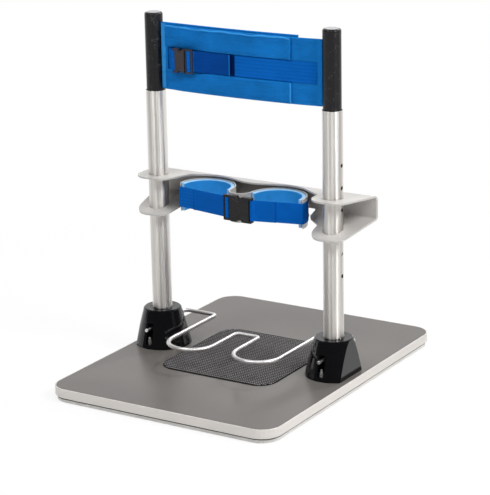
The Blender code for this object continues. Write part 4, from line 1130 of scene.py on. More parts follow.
@dataclass
class Base(Assembly):
    """The weighted base with its board, edging, mat and feet."""

    foot_screws: int = 6
    plate_round: float = 0.0008
    foot_round: float = 0.0009
    nut_round: float = 0.0004
    plate_width: float = 0.600
    plate_depth: float = 0.790
    plate_corner: float = 0.045
    bead: float = 0.0010
    bead_height: float = 0.0088
    bead_off: float = 0.0001
    bead_sides: int = 8
    screw: float = 0.0034
    screw_reach: float = 0.059
    thread_low: float = 0.0212
    thread_high: float = 0.0278
    thread_pitch: float = 0.0015
    thread_ridge: float = 0.0005
    thread_steps: int = 12
    thread_sides: int = 6
    mat_width: float = 0.310
    mat_depth: float = 0.328
    mat_corner: float = 0.045
    mat_thick: float = 0.0018
    mat_lip: float = 0.0006
    knot_across: float = 0.0050
    knot_along: float = 0.0097
    knot_rise: float = 0.0006
    knot_half: float = 0.27
    knot_tip: float = 0.38
    knot_shoulder: float = 0.65
    knot_top: Span = (0.5, 0.8)
    knot_margin: float = 0.30
    knot_crease: float = 80.0

    def build(self) -> None:
        """Dress the base and lay its mat."""
        dress = self.shop.dress
        dress(Finishes.LAMINATE, "base_deck")
        dress(Finishes.EDGE, "base_edge")
        dress(Finishes.PLATE, "base_plate", round_by=self.plate_round)
        dress(Finishes.GASKET, "base_gasket")
        dress(Finishes.GLOSS, *both("foot"), round_by=self.foot_round)
        dress(Finishes.ZINC, *numbered("foot_screw", self.foot_screws), *both("sway_axle"))
        dress(Finishes.ZINC, *both("stop_screw"), round_by=self.nut_round)
        for side in Side:
            self.thread(side)
        self.seal()
        self.mat()

    def seal(self) -> None:
        """Run a dark bead round the plate's rim, under the edging, as painted shadow in the gap
        there.
        """
        corner = self.plate_corner + self.bead + self.bead_off
        x = self.plate_width / 2 - self.plate_corner
        y = self.plate_depth / 2 - self.plate_corner
        back = [(0.0, y + corner)]
        rim = back + rounded_rim(x, y, corner, 1) + back
        path = [(px, py, self.bead_height) for px, py in rim]
        bead = tube_shape(path, self.bead, self.bead_sides)
        # painted shadow: a dark bead in the gap that the edging shades
        self.shop.piece("base_shadow_bead", bead, Finishes.GASKET, Body.BASE, slot="gasket")

    def thread(self, side: Side) -> None:
        """Wind the ridge of a thread round one foot's stop screw, above its nuts.

        Args:
            side: The foot's side.
        """
        low, high = BASE_TOP + self.thread_low, BASE_TOP + self.thread_high
        turns = int((high - low) / self.thread_pitch)
        path = []
        for i in range(turns * self.thread_steps + 1):
            a = 2 * math.pi * i / self.thread_steps
            path.append((side.value * POST_X + self.screw * math.cos(a),
                         -self.screw_reach + self.screw * math.sin(a),
                         low + self.thread_pitch * i / self.thread_steps))
        ridge = tube_shape(path, self.thread_ridge, self.thread_sides)
        self.shop.piece(f"stop_thread_{side.label}", ridge, Finishes.ZINC, Body.BASE, slot="zinc")

    def inside(self, x: float, y: float, margin: float) -> bool:
        """Tell whether a place is on the mat.

        Args:
            x: The place along X.
            y: The place along Y.
            margin: How far in from the mat's edge it has to be.

        Returns:
            Whether it is.
        """
        dx = abs(x) - (self.mat_width / 2 - self.mat_corner)
        dy = abs(y) - (self.mat_depth / 2 - self.mat_corner)
        out = max(dx, dy) if min(dx, dy) <= 0 else math.hypot(dx, dy)
        return out <= self.mat_corner - margin

    def mat(self) -> None:
        """Lay the mat: a dark ground with a net of raised knots."""
        low = BASE_TOP + GAP
        top = low + self.mat_thick - self.knot_rise
        half_x, half_y = self.mat_width / 2, self.mat_depth / 2
        rim = rounded_rim(half_x - self.mat_corner, half_y - self.mat_corner, self.mat_corner)
        inner = [(x * (1 - self.mat_lip / half_x), y * (1 - self.mat_lip / half_y)) for x, y in rim]
        rings = ((rim, low), (rim, top - self.mat_lip / 2), (inner, top))
        verts = [(*place, z) for ring, z in rings for place in ring]
        shape = verts, ring_faces(len(rings), len(rim), Ends.CAPPED)
        ground = self.shop.piece("mat_ground", shape, Finishes.MAT_DARK, Body.BASE,
                                 stands_for="foot_mat", slot="mat")
        self.knots(top)

    def area(self) -> float:
        """Return the mat's flat area, less its round corners."""
        return self.mat_width * self.mat_depth - (4 - math.pi) * self.mat_corner ** 2

    def knots(self, ground: float) -> bpy.types.Object:
        """Make the net's raised bars, in rows across the mat.

        Args:
            ground: The height that they stand on.

        Returns:
            The new piece.
        """
        half, tip = self.knot_across * self.knot_half, self.knot_along * self.knot_tip
        neck = tip * self.knot_shoulder
        foot = ((0, -tip), (half, -neck), (half, neck), (0, tip), (-half, neck), (-half, -neck))
        wide, deep = self.knot_top
        faces = ring_faces(2, len(foot), Ends.CAPPED)
        faces.pop(len(foot))
        columns = int(self.mat_width / self.knot_across / 2)
        rows = int(self.mat_depth / self.knot_along / 2)
        shapes: list[Shape] = []
        for y in (r * self.knot_along for r in range(-rows, rows + 1)):
            for x in (c * self.knot_across for c in range(-columns, columns + 1)):
                if self.inside(x, y, self.knot_across * self.knot_margin):
                    verts = [(x + dx, y + dy, ground) for dx, dy in foot]
                    verts += [(x + dx * wide, y + dy * deep, ground + self.knot_rise)
                              for dx, dy in foot]
                    shapes.append((verts, faces))
        return self.shop.piece("mat_knots", merged(shapes), Finishes.MAT, Body.BASE, slot="mat",
                               crease=self.knot_crease)


@dataclass
class HeelGuide(Assembly):
    """The bent wire round the heels."""

    height: float = 0.0856
    radius: float = 0.005
    socket: float = 0.0345
    rear: float = 0.103
    outer: float = 0.1516
    inner: float = 0.0323
    bridge: float = 0.008
    front: float = -0.1535
    bend: float = 0.011
    bend_steps: int = 10
    loop_steps: int = 40
    step: float = 0.02
    sides: int = 18

    def path(self) -> Plan:
        """Return the wire's plan path from the right socket to the left one.

        Returns:
            The path's points.
        """
        loop = (self.outer - self.inner) / 2
        middle = self.front + loop
        rear = filleted([
            (POST_X, self.socket, 0), (POST_X, self.rear, self.bend),
            (self.outer, self.rear, self.bend), (self.outer, middle, 0)], self.bend_steps)[:-1]
        turn = arc((self.outer - loop, middle), loop, 0, -math.pi, self.loop_steps)
        bridge = filleted([
            (self.inner, middle, 0), (self.inner, self.bridge, self.bend),
            (0, self.bridge, 0)], self.bend_steps)[1:-1]
        half = rear + turn + bridge
        return half + [(-x, y) for x, y in reversed(half)]

    def build(self) -> None:
        """Make the wire, with finer bends than the solid's."""
        path = [(x, y, self.height) for x, y in refined(self.path(), self.step)]
        wire = tube_shape(path, self.radius, self.sides)
        self.shop.piece("heel_guide_wire", wire, Finishes.WIRE, Body.HEEL,
                        stands_for="heel_wire", slot="stainless")


@dataclass
class Uprights(Assembly):
    """The posts, what is in their feet, and the telescopic tubes with their caps."""

    foot_top: float = 0.1259
    seal_inner: float = 0.0245
    seal_width: float = 0.0248
    seal_length: float = 0.0340
    seal_thick: float = 0.0004
    seal_rise: float = 0.0012
    seal_hold: float = 0.0001
    seal_rings: tuple[float, ...] = (0.0, 0.35, 0.7, 1.0)
    turn_steps: int = 20
    side_steps: int = 6

    def build(self) -> None:
        """Dress the posts and tubes and close the feet."""
        for finish, name in (
                (Finishes.STEEL, "post"), (Finishes.RUBBER, "sway_block"),
                (Finishes.ZINC, "limit_pin"), (Finishes.COAT, "belt_tube"),
                (Finishes.CAP, "tube_cap"), (Finishes.ZINC, "snap_button")):
            self.shop.dress(finish, *both(name))
        for side in Side:
            self.seal(side)

    def mouth(self) -> Plan:
        """Return the outline of a foot's mouth, round at its front and back.

        Returns:
            The outline's points about the post's axis.
        """
        straight = self.seal_length - self.seal_width
        outline: Plan = []
        for sign, turn in ((1, 0.0), (-1, math.pi)):
            outline += arc((0.0, sign * straight), self.seal_width, turn, turn + math.pi,
                           self.turn_steps)
            outline += [(-sign * self.seal_width, sign * straight * (1 - 2 * i / self.side_steps))
                        for i in range(1, self.side_steps)]
        return outline

    def seal(self, side: Side) -> None:
        """Close a foot's mouth with a thin seal that stretches between the foot and its post.

        Args:
            side: The foot's side.
        """
        centre = side.value * POST_X
        outer = self.mouth()
        inner = [tuple(Vector(place).normalized() * self.seal_inner) for place in outer]
        low, high = self.foot_top - self.seal_rise / 2, self.foot_top + self.seal_rise / 2
        rings = [(0.0, self.seal_thick)] + [(share, 0.0) for share in self.seal_rings]
        rings += [(share, self.seal_thick) for share in self.seal_rings[:0:-1]]
        verts: list[Point] = []
        for share, sunk in rings:
            z = low + (high - low) * share - sunk
            verts += [(centre + a + (c - a) * share, b + (d - b) * share, z)
                      for (a, b), (c, d) in zip(outer, inner)]
        shape = verts, ring_faces(len(rings), len(outer), Ends.JOINED)
        item = self.shop.piece(f"post_seal_{side.label}", shape, Finishes.GLOSS, None,
                               slot="gloss_black")
        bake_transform(item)


@dataclass
class Buckle:
    """A side-release buckle: its frame's bars as the webbing meets them."""

    edge: float
    middle: float
    height: float
    away: int
    length: float
    half: float
    bar: float = 0.0036
    slot_wide: float = 0.0052
    slot_narrow: float = 0.0038
    root: float = 0.0038
    frame: float = 0.0045
    depth: float = 0.0118
    wall: float = 0.0022
    rib: float = 0.0007
    rib_inset: float = 0.0035
    rib_sunk: float = 0.0001
    rib_reach: float = 0.80
    rib_dip: float = 0.225
    rib_steps: int = 12
    rib_sides: int = 6
    cross: float = 0.0006
    cross_reach: float = 0.52
    cross_places: Span = (0.12, 0.88)

    @classmethod
    def ladder_length(cls) -> float:
        """Return how long the ladder frame in front of the shell is."""
        return 2 * cls.bar + cls.slot_wide + cls.slot_narrow + cls.root

    @property
    def mouth(self) -> float:
        """Return where the shell starts along X."""
        return self.edge - self.away * (self.ladder_length() + GAP)

    @property
    def end(self) -> float:
        """Return where the shell ends along X."""
        return self.mouth - self.away * self.length

    @property
    def end_slot(self) -> float:
        """Return the middle of the slot at the shell's end."""
        return self.end + self.away * (self.bar + self.slot_narrow / 2)

    def clear(self, web: float) -> float:
        """Return how far webbing of a thickness lies off the middle of the frame."""
        return self.frame / 2 + GAP + web / 2

    def ladder(self, web: float, loose: float) -> list[Corner]:
        """Return the corners of webbing that threads the ladder frame.

        Args:
            web: The webbing's thickness.
            loose: The gap between two layers of it.

        Returns:
            Corners from the main run behind the frame to the tail's start.
        """
        wide = self.edge - self.away * (self.bar + self.slot_wide / 2)
        narrow = self.edge - self.away * (2 * self.bar + self.slot_wide + self.slot_narrow / 2)
        behind, front = self.middle + self.clear(web), self.middle - self.clear(web)
        under = behind + web + loose
        return [(narrow, under, web), (narrow, front, web), (wide, front, web), (wide, behind, web)]

    def ribs(self) -> Shape:
        """Return the raised lines moulded on the shell's front and back.

        Returns:
            Their points and faces.
        """
        shapes: list[Shape] = []
        near = self.mouth - self.away * self.rib_inset
        far = self.end + self.away * (self.bar + self.slot_narrow + self.wall)
        shares = spread(0.0, 1.0, self.rib_steps)
        for face in (-1, 1):
            y = self.middle + face * (self.depth / 2 - self.rib_sunk)
            for side in (-1, 1):
                rim = []
                for share in shares:
                    dip = self.rib_dip * math.sin(math.pi * share) ** 2
                    z = self.height + side * self.half * (self.rib_reach - dip)
                    rim.append((near + (far - near) * share, y, z))
                shapes.append(tube_shape(rim, self.rib, self.rib_sides))
            for share in self.cross_places:
                x = near - self.away * abs(far - near) * share
                tall = self.half * self.cross_reach
                line = [(x, y, z) for z in spread(self.height - tall, self.height + tall, 2)]
                shapes.append(tube_shape(line, self.cross, self.rib_sides))
        return merged(shapes)


@dataclass
class Webbing:
    """Stock webbing with lengthwise ridges and woven selvedges."""

    ridge: float = 0.00030
    thick: float = 0.0016
    loose: float = 0.0004
    selvedge: float = 0.0010
    thin: float = 0.45
    step: float = 0.008
    row: float = 0.0014

    @property
    def layer(self) -> float:
        """Return the thickness of one layer with the air on it."""
        return self.thick + self.loose

    def band(self, path: Plan, height: float) -> Band:
        """Return a length of webbing along a path at a middle height."""
        return Band(path, height - WEB_WIDTH / 2, height + WEB_WIDTH / 2, self.thick,
                    self.selvedge, self.thin, self.step, self.row, swell=self.relief)

    def relief(self, run: float, rise: float) -> float:
        """Return how far the webbing's face sinks between its ridges."""
        wave = math.cos(2 * math.pi * WEB_RIDGES * rise / WEB_WIDTH)
        return -self.ridge * (0.5 + 0.5 * wave)


@dataclass
class KneeSupport(Assembly):
    """The bracket, the padded cups and the straps that close them."""

    rivets: int = 4
    bracket_round: float = 0.0009
    cup_round: float = 0.0006
    buckle_round: float = 0.0007
    arm_round: float = 0.0006
    web_face: float = 0.061
    cup_x: float = 0.0982
    cup_radius: float = 0.072
    cup_sheet: float = 0.003
    cup_low: float = 0.349
    cup_high: float = 0.420
    cup_arm: float = 0.0032
    cup_steps: int = 48
    pad: float = 0.010
    pad_margin: float = 0.0015
    pad_edge: float = 0.0028
    pad_thin: float = 0.45
    pad_step: float = 0.005
    pad_hollow: float = 0.0006
    pad_flat: int = 8
    pad_crease: float = 60.0
    cut_facing: float = 0.55
    cut_slack: float = 0.0002
    buckle_edge: float = -0.0267
    buckle_length: float = 0.059
    buckle_half: float = 0.031
    height: float = BASE_TOP + 0.3855
    wrap: float = math.radians(36)
    wrap_steps: int = 16
    tail: float = 0.1235
    tail_curl: float = 0.008
    tail_bend: float = 0.004
    lift: float = 0.0022
    # painted shadow: the length of the dark line at a strap's cut end
    end_shadow: float = 0.0014
    blend_start: float = 0.02
    blend_end: float = 0.012
    blend_height: float = 0.42
    seam: float = 0.108
    seam_rows: Span = (0.003, 0.007)
    wrap_rows: Span = (math.radians(2), math.radians(16))
    row_margin: float = 0.004
    row_steps: int = 12
    box: float = 0.026
    box_margin: float = 0.010
    box_pitch: float = 0.0036
    sunk: float = 0.3
    webbing: Webbing = field(default_factory=lambda: Webbing(ridge=0.00010))

    @property
    def cup_y(self) -> float:
        """Return the plan place of the cups' centres."""
        return self.web_face - GAP - self.cup_radius

    @property
    def wrap_radius(self) -> float:
        """Return the radius of a strap's middle round a cup."""
        return self.cup_radius + GAP + self.webbing.thick / 2

    def buckle(self) -> Buckle:
        """Return the buckle in front of the cups.

        Returns:
            The buckle, with its middle clear of the cups' bridge.
        """
        mid = self.cup_radius - self.cup_sheet / 2
        bridge = self.cup_y - (self.cup_x - mid) - self.cup_sheet / 2
        web, loose = self.webbing.thick, self.webbing.loose
        reach = max(Buckle.frame / 2 + GAP + 2 * web + loose, Buckle.depth / 2)
        return Buckle(self.buckle_edge, bridge - loose - reach, self.height, -1,
                      self.buckle_length, self.buckle_half)

    def build(self) -> None:
        """Dress the support and make its pads and straps."""
        dress = self.shop.dress
        dress(Finishes.BRACKET, "knee_bracket", round_by=self.bracket_round)
        dress(Finishes.GREY, "knee_cups", round_by=self.cup_round)
        for name in ("cup_rivet", "strap_rivet"):
            dress(Finishes.ZINC, *numbered(name, self.rivets))
        dress(Finishes.PLASTIC, "knee_buckle_shell", "knee_buckle_plug", round_by=self.buckle_round)
        dress(Finishes.PLASTIC, "knee_buckle_arm_upper", "knee_buckle_arm_lower",
              round_by=self.arm_round)
        for side in Side:
            self.padding(side)
        self.strap_left()
        self.strap_right()
        self.shop.piece("knee_buckle_ribs", self.buckle().ribs(), Finishes.PLASTIC, Body.KNEE,
                        slot="buckle")

    def padding(self, side: Side) -> None:
        """Make one cup's foam lining with its pale cut edges.

        Args:
            side: The cup's side.
        """
        sign = side.value
        radius = self.cup_radius - self.cup_sheet - GAP - self.pad / 2
        front = self.cup_y - self.cup_arm
        path = [(sign * (self.cup_x + radius), front)]
        path += [(sign * x, y) for x, y in arc((self.cup_x, self.cup_y), radius, 0, math.pi,
                                               self.cup_steps)]
        path.append((sign * (self.cup_x - radius), front))
        low = BASE_TOP + self.cup_low + self.pad_margin
        high = BASE_TOP + self.cup_high - self.pad_margin

        def hollow(run: float, rise: float) -> float:
            """Return how far the foam's faces sink at its middle height."""
            return -self.pad_hollow * math.sin(math.pi * rise / (high - low)) ** self.pad_flat

        band = Band(path[::-sign], low, high, self.pad, self.pad_edge, self.pad_thin,
                    self.pad_step, self.pad_step, swell=hollow)
        item = self.shop.piece(f"knee_foam_{side.label}", band.shape(), Finishes.FOAM, Body.KNEE,
                               stands_for=f"knee_pad_{side.label}", slot="foam_blue",
                               crease=self.pad_crease)
        item.data.materials.append(Finishes.FOAM_EDGE.material())
        for face in item.data.polygons:
            cut = face.center.y < front + self.cut_slack
            if abs(face.normal.z) > self.cut_facing or cut:
                face.material_index = 1

    def corner(self, sign: int) -> Corner:
        """Return the strap's rounded turn past the end of a cup's arm."""
        y = self.cup_y - self.cup_arm - self.cup_sheet - GAP
        return sign * (self.cup_x + self.wrap_radius), y, self.cup_sheet

    def strap_path(self, sign: int, corners: Sequence[Corner]) -> Plan:
        """Return a strap's way round a cup's outer arm and on through corners.

        Args:
            sign: The side of the strap.
            corners: What follows the turn past the end of the arm.

        Returns:
            The path's points.
        """
        turn = arc((self.cup_x, self.cup_y), self.wrap_radius, self.wrap, 0, self.wrap_steps)
        arm_end = (sign * (self.cup_x + self.wrap_radius), self.cup_y - self.cup_arm, 0)
        return [(sign * x, y) for x, y in turn] + filleted([arm_end, self.corner(sign), *corners])

    def strap_left(self) -> None:
        """Make the strap through the ladder frame, with its tail."""
        b, web = self.buckle(), self.webbing
        ladder = b.ladder(web.thick, web.loose)
        x, y, _ = self.corner(-1)
        slope = (ladder[0][1] - y) / (ladder[0][0] - x)
        end_y = y + slope * (-self.tail - x) - web.layer
        path = self.strap_path(-1, [
            *ladder, (b.edge - b.bar, ladder[3][1], web.layer),
            (-self.tail + self.tail_curl, end_y + slope * self.tail_curl, self.tail_bend),
            (-self.tail, end_y - self.lift, 0)])
        band = web.band(path, self.height)
        strap = self.shop.piece("knee_web_left", band.shape(), Finishes.WEBBING, None,
                                stands_for="knee_strap_left", slot="webbing")
        band.ends_in(strap, Finishes.SMOOTH, self.tail + b.edge + b.bar, self.end_shadow)
        # painted shadow: a dark line at the strap's cut end
        band.ends_in(strap, Finishes.TAIL, self.end_shadow)
        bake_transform(strap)
        self.sewn(Side.LEFT, [])

    def strap_right(self) -> None:
        """Make the strap round the shell's bar, sewn back on itself."""
        b, web = self.buckle(), self.webbing
        behind, front = b.middle + b.clear(web.thick), b.middle - b.clear(web.thick)
        x, y, _ = self.corner(1)
        bar_end = b.end + web.layer
        slope = (y - behind) / (x - bar_end)

        def lap(place: float) -> float:
            """Return the middle of the doubled layer at a place across the frame."""
            return behind + slope * (place - bar_end) - web.layer

        def face(place: float) -> float:
            """Return the front of the doubled layer at a place across the frame."""
            return lap(place) - web.thick / 2 + web.ridge * self.sunk

        path = self.strap_path(1, [
            (bar_end, behind, web.thick), (b.end_slot, behind, web.thick),
            (b.end_slot, front, web.thick), (bar_end - web.layer, front, web.thick),
            (bar_end + 2 * web.layer, behind - web.layer, web.layer),
            (self.seam, lap(self.seam), 0)])
        band = web.band(path, self.height)
        strap = self.shop.piece("knee_web_right", band.shape(), Finishes.SMOOTH, Body.KNEE,
                                stands_for="knee_strap_right", slot="webbing")
        # painted shadow: a dark line at the strap's cut end
        band.ends_in(strap, Finishes.TAIL, self.end_shadow)
        rows = [self.seam - inset for inset in self.seam_rows]
        self.sewn(Side.RIGHT, [(row, face(row)) for row in rows])
        self.cross_sewn(face)

    def cross_sewn(self, face: Callable[[float], float]) -> None:
        """Sew a box with a cross in it where the right strap is doubled.

        Args:
            face: Gives the front of the strap at a place across the frame.
        """
        right, tall = self.seam - self.seam_rows[1], WEB_WIDTH / 2 - self.box_margin
        left = right - self.box
        lines = (((left, -tall), (left, tall)), ((left, tall), (right, tall)),
                 ((left, -tall), (right, -tall)), ((left, -tall), (right, tall)),
                 ((left, tall), (right, -tall)))
        stitches = []
        for start, end in lines:
            count = round(math.dist(start, end) / self.box_pitch)
            along = Vector((end[0] - start[0], 0, end[1] - start[1]))
            for x, z in zip(*(spread(a, b, count) for a, b in zip(start, end))):
                stitches.append(Stitch(Vector((x, face(x), self.height + z)), along))
        self.stitched("knee_sewing_cross", stitches)

    def sewn(self, side: Side, rows: Plan) -> None:
        """Sew across a strap: at given places in front, and by its riveted end.

        Args:
            side: The side of the strap.
            rows: Plan places of rows on the strap's front.
        """
        reach = WEB_WIDTH / 2 - self.row_margin
        heights = spread(self.height - reach, self.height + reach, self.row_steps)
        stitches = [stitch for x, y in rows for stitch in upright_row(x, y, heights)]
        radius = self.wrap_radius + self.webbing.thick / 2 - self.webbing.ridge * self.sunk
        for inset in self.wrap_rows:
            turn = self.wrap - inset
            out = Vector((side.value * math.cos(turn), math.sin(turn), 0))
            spot = Vector((side.value * self.cup_x, self.cup_y, 0)) + out * radius
            stitches += upright_row(spot.x, spot.y, heights, out)
        self.stitched(f"knee_sewing_{side.label}", stitches)

    def stitched(self, name: str, stitches: Iterable[Stitch]) -> None:
        """Make a piece of sewing on the straps."""
        shape = merged(stitch.shape() for stitch in stitches)
        self.shop.piece(name, shape, Finishes.THREAD, Body.KNEE, slot="webbing")


class Flap(str, Enum):
    """The two padded flaps on the belt, by their words in piece names."""

    UPPER = "upper"
    LOWER = "lower"


@dataclass
class PelvicBelt(Assembly):
    """The cloth wings, padded flaps, webbing and buckle between the tubes."""

    tube: float = 0.0218
    bore: float = 0.0198
    low: float = BASE_TOP + 0.6435
    high: float = BASE_TOP + 0.8030
    drop: float = 0.0050
    bow: float = 0.010
    steps: int = 40
    cloth: float = 0.004
    cloth_edge: float = 0.0024
    cloth_thin: float = 0.5
    cloth_step: float = 0.010
    cloth_row: float = 0.006
    cloth_sunk: float = 0.0002
    bead: float = 0.0052
    bead_margin: float = 0.001
    bead_steps: int = 4
    bead_sides: int = 16
    trim_inset: float = 0.0012
    trim_over: float = 0.0001
    loose: float = 0.0004
    left_end: float = 0.156
    right_end: float = -0.150
    lap: float = 0.060
    step_start: float = -0.196
    step_run: float = 0.040
    flap: float = 0.0060
    flap_start: float = -0.2066
    flap_end: float = 0.140
    flap_steps: int = 48
    flap_edge: float = 0.0050
    flap_thin: float = 0.05
    flap_row: float = 0.0035
    flap_seam: float = 0.0070
    flap_crease: float = 70.0
    pad: float = 0.0044
    crown_rise: float = 0.0007
    crown_share: float = 0.55
    crease_fine: tuple[float, float, float] = (0.30, 61.0, 3.0)
    crease_broad: tuple[float, float, float, float] = (0.22, 23.0, 1.0, 40.0)
    curl_upper: float = 0.0030
    curl_lower: float = 0.0008
    curl_run: float = 0.020
    curl_fade: float = 0.6
    binding: float = 0.0016
    binding_depth: float = 0.0022
    binding_inset: float = 0.0006
    binding_steps: int = 96
    end_inset: float = 0.0004
    end_steps: int = 8
    light_hem: float = 0.0023
    light_hem_out: float = 0.0004
    light_hem_sunk: float = 0.0012
    light_hem_waves: tuple[tuple[float, float, float], ...] = ((0.0007, 47.0, 0.0), (0.0005, 118.0, 1.0))
    hem: float = 0.0125
    tape: float = 0.0016
    tape_off: float = 0.0008
    tape_gap: float = 0.0006
    tape_margin: float = 0.002
    tape_edge: float = 0.0008
    tape_thin: float = 0.3
    tape_steps: int = 3
    join: float = 0.0036
    join_places: tuple[float, ...] = (-0.2062, -0.2032, -0.1999)
    join_lap: float = 0.004
    join_edge: float = 0.0016
    join_thin: float = 0.2
    channel_low: float = BASE_TOP + 0.693
    channel_high: float = BASE_TOP + 0.746
    web_height: float = BASE_TOP + 0.7195
    web_end: float = 0.206
    tail: float = -0.0178
    tail_bend: float = 0.004
    fold: float = 0.0080
    fold_highlight_share: float = 0.75
    lift: float = 0.0052
    # painted shadow: where the dark stripe starts and stops around the tail's end
    creased: Span = (0.0115, 0.002)
    blend_start: float = 0.16
    blend_end: float = 0.012
    blend_height: float = 0.75
    anchor: float = -0.194
    buckle_edge: float = -0.120
    buckle_length: float = 0.033
    buckle_half: float = 0.0288
    buckle_round: float = 0.0006
    sew_pitch: float = 0.0038
    sew_margin: float = 0.004
    left_rows: Span = (0.004, 0.003)
    right_rows: Span = (0.003, 0.009)
    web_rows: Span = (0.003, 0.008)
    web_reach: float = 0.021
    flap_sewn: float = 0.0065
    flap_stitches: int = 90
    flap_sew_lift: float = 0.0002
    webbing: Webbing = field(default_factory=Webbing)

    @property
    def reach(self) -> float:
        """Return how far out the tubes' inner sides are."""
        return POST_X - self.tube

    @property
    def lapped_high(self) -> float:
        """Return the top of the right wing and of the flaps that lie on it."""
        return self.high - self.drop

    def line(self, x: float) -> float:
        """Return the belt's bow at a place across the frame."""
        return -self.bow * max(0.0, 1 - (x / self.reach) ** 2)

    def lapped(self, x: float, sign: int) -> float:
        """Return how far a wing lies off the bow, behind for the left one."""
        share = eased((self.reach + sign * x) / self.lap)
        return sign * share * (self.cloth + self.loose) / 2

    def right_face(self, x: float) -> float:
        """Return the front of the right wing's cloth."""
        return self.line(x) + self.lapped(x, -1) - self.cloth / 2

    def face(self, x: float) -> float:
        """Return the front of the cloth: the left wing's, then the right wing's over it."""
        left, right = self.lapped(x, 1), self.lapped(x, -1)
        share = eased((x - self.step_start) / self.step_run)
        return self.line(x) + left + (right - left) * share - self.cloth / 2

    def buckle(self) -> Buckle:
        """Return the belt's buckle, in front of the flaps.

        Returns:
            The buckle, with its back clear of the flaps all along.
        """
        far = self.buckle_edge - Buckle.ladder_length() - GAP - self.buckle_length
        face = min(self.face(x) - GAP - self.flap - GAP for x in (self.buckle_edge, far))
        return Buckle(self.buckle_edge, face - Buckle.depth / 2, self.web_height, 1,
                      self.buckle_length, self.buckle_half)

    def build(self) -> None:
        """Dress the belt and make its cloth, webbing and sewing."""
        nodes = (f"belt_buckle_{name}" for name in ("shell", "plug", "arm_upper", "arm_lower"))
        self.shop.dress(Finishes.BELT_PLASTIC, *nodes, round_by=self.buckle_round)
        self.wing(Side.LEFT, self.left_end, self.high)
        self.wing(Side.RIGHT, self.right_end, self.lapped_high)
        self.flap_piece(Flap.UPPER, self.channel_high, self.lapped_high)
        self.flap_piece(Flap.LOWER, self.low, self.channel_low)
        self.hems()
        self.strap()
        self.tie()
        self.sewing()
        self.shop.piece("belt_buckle_ribs", self.buckle().ribs(), Finishes.BELT_PLASTIC, Body.BELT,
                        slot="buckle")

    def cloth_piece(self, name: str, shape: Shape, finish: Finish,
                    **more: object) -> bpy.types.Object:
        """Make a piece of the belt's cloth, with any more options of a piece."""
        return self.shop.piece(name, shape, finish, Body.BELT, slot="belt_cloth", **more)

    def wing(self, side: Side, end: float, high: float) -> None:
        """Make one wing with the bead that the tube's slot holds and its bound edges.

        Args:
            side: The side of the tube that holds it.
            end: Where its free end is along X.
            high: Its upper edge.
        """
        sign, low = -side.value, self.low
        start = -sign * self.reach
        held = -sign * (POST_X - self.bore + self.bead)
        line = [(x, self.line(x) + self.lapped(x, sign)) for x in spread(start, end, self.steps)]
        band = Band([(held, 0.0), *line][::sign], low, high, self.cloth, self.cloth_edge,
                    self.cloth_thin, self.cloth_step, self.cloth_row,
                    swell=lambda run, rise: -self.cloth_sunk)
        name = f"belt_cloth_{side.label}"
        cloth = self.cloth_piece(name, band.shape(), Finishes.CLOTH,
                                 stands_for=f"belt_wing_{side.label}")
        heights = spread(low + self.bead_margin, high - self.bead_margin, self.bead_steps)
        bead = tube_shape([(held, 0, z) for z in heights], self.bead, self.bead_sides)
        edge = self.cloth_piece(f"{name}_bead", bead, Finishes.BINDING)
        trims = merged(
            tube_shape([(x, y, z) for x, y in line[::sign]], self.cloth / 2 + self.trim_over)
            for z in (low + self.trim_inset, high - self.trim_inset))
        trim = self.cloth_piece(f"{name}_binding", trims, Finishes.BINDING)

    def flap_path(self, depth: float, count: int) -> Plan:
        """Return a plan path in front of the cloth from the left hem to the flaps' ends."""
        places = spread(self.flap_start, self.flap_end, count)
        return [(x, self.face(x) - depth) for x in places]

    def flap_piece(self, flap: Flap, low: float, high: float) -> None:
        """Make one padded flap, flat behind and filled in front, with a bound edge.

        Args:
            flap: Which one.
            low: Its lower edge.
            high: Its upper edge.
        """
        tall, whole = high - low, self.flap_end - self.flap_start
        curl = self.curl_upper if flap is Flap.UPPER else self.curl_lower

        def crown(run: float, rise: float) -> float:
            """Return the padding's rise over a flap's face.

            Args:
                run: How far along the flap the place is.
                rise: How far up it is.

            Returns:
                The rise there.
            """
            middle = math.sin(math.pi * rise / tall)
            size, rate, skew = self.crease_fine
            crease = size * math.sin(run * rate + skew * middle)
            size, rate, start, slant = self.crease_broad
            crease += size * math.sin(run * rate + start - slant * rise)
            return self.crown_rise * middle * (self.crown_share + crease)

        def lifted(run: float, rise: float) -> float:
            """Return how far the flap's free end curls off the belt."""
            share = max(0.0, 1 - (whole - run) / self.curl_run)
            return curl * share * share * (1 - self.curl_fade * rise / tall)

        path = self.flap_path(GAP + self.pad / 2, self.flap_steps)
        band = Band(path, low, high, self.pad, self.flap_edge, self.flap_thin, row=self.flap_row,
                    swell=crown, ripple=lifted, front_only=True)
        sewn_low, sewn_high = low + self.flap_seam, high - self.flap_seam
        cover = Cushion().filled(band.shape(), lambda z: z < sewn_low or z > sewn_high)
        item = self.cloth_piece(f"belt_pad_{flap.value}", cover, Finishes.CLOTH,
                                stands_for=f"belt_flap_{flap.value}", crease=self.flap_crease)
        self.bound_edges(flap, low, high, lifted)

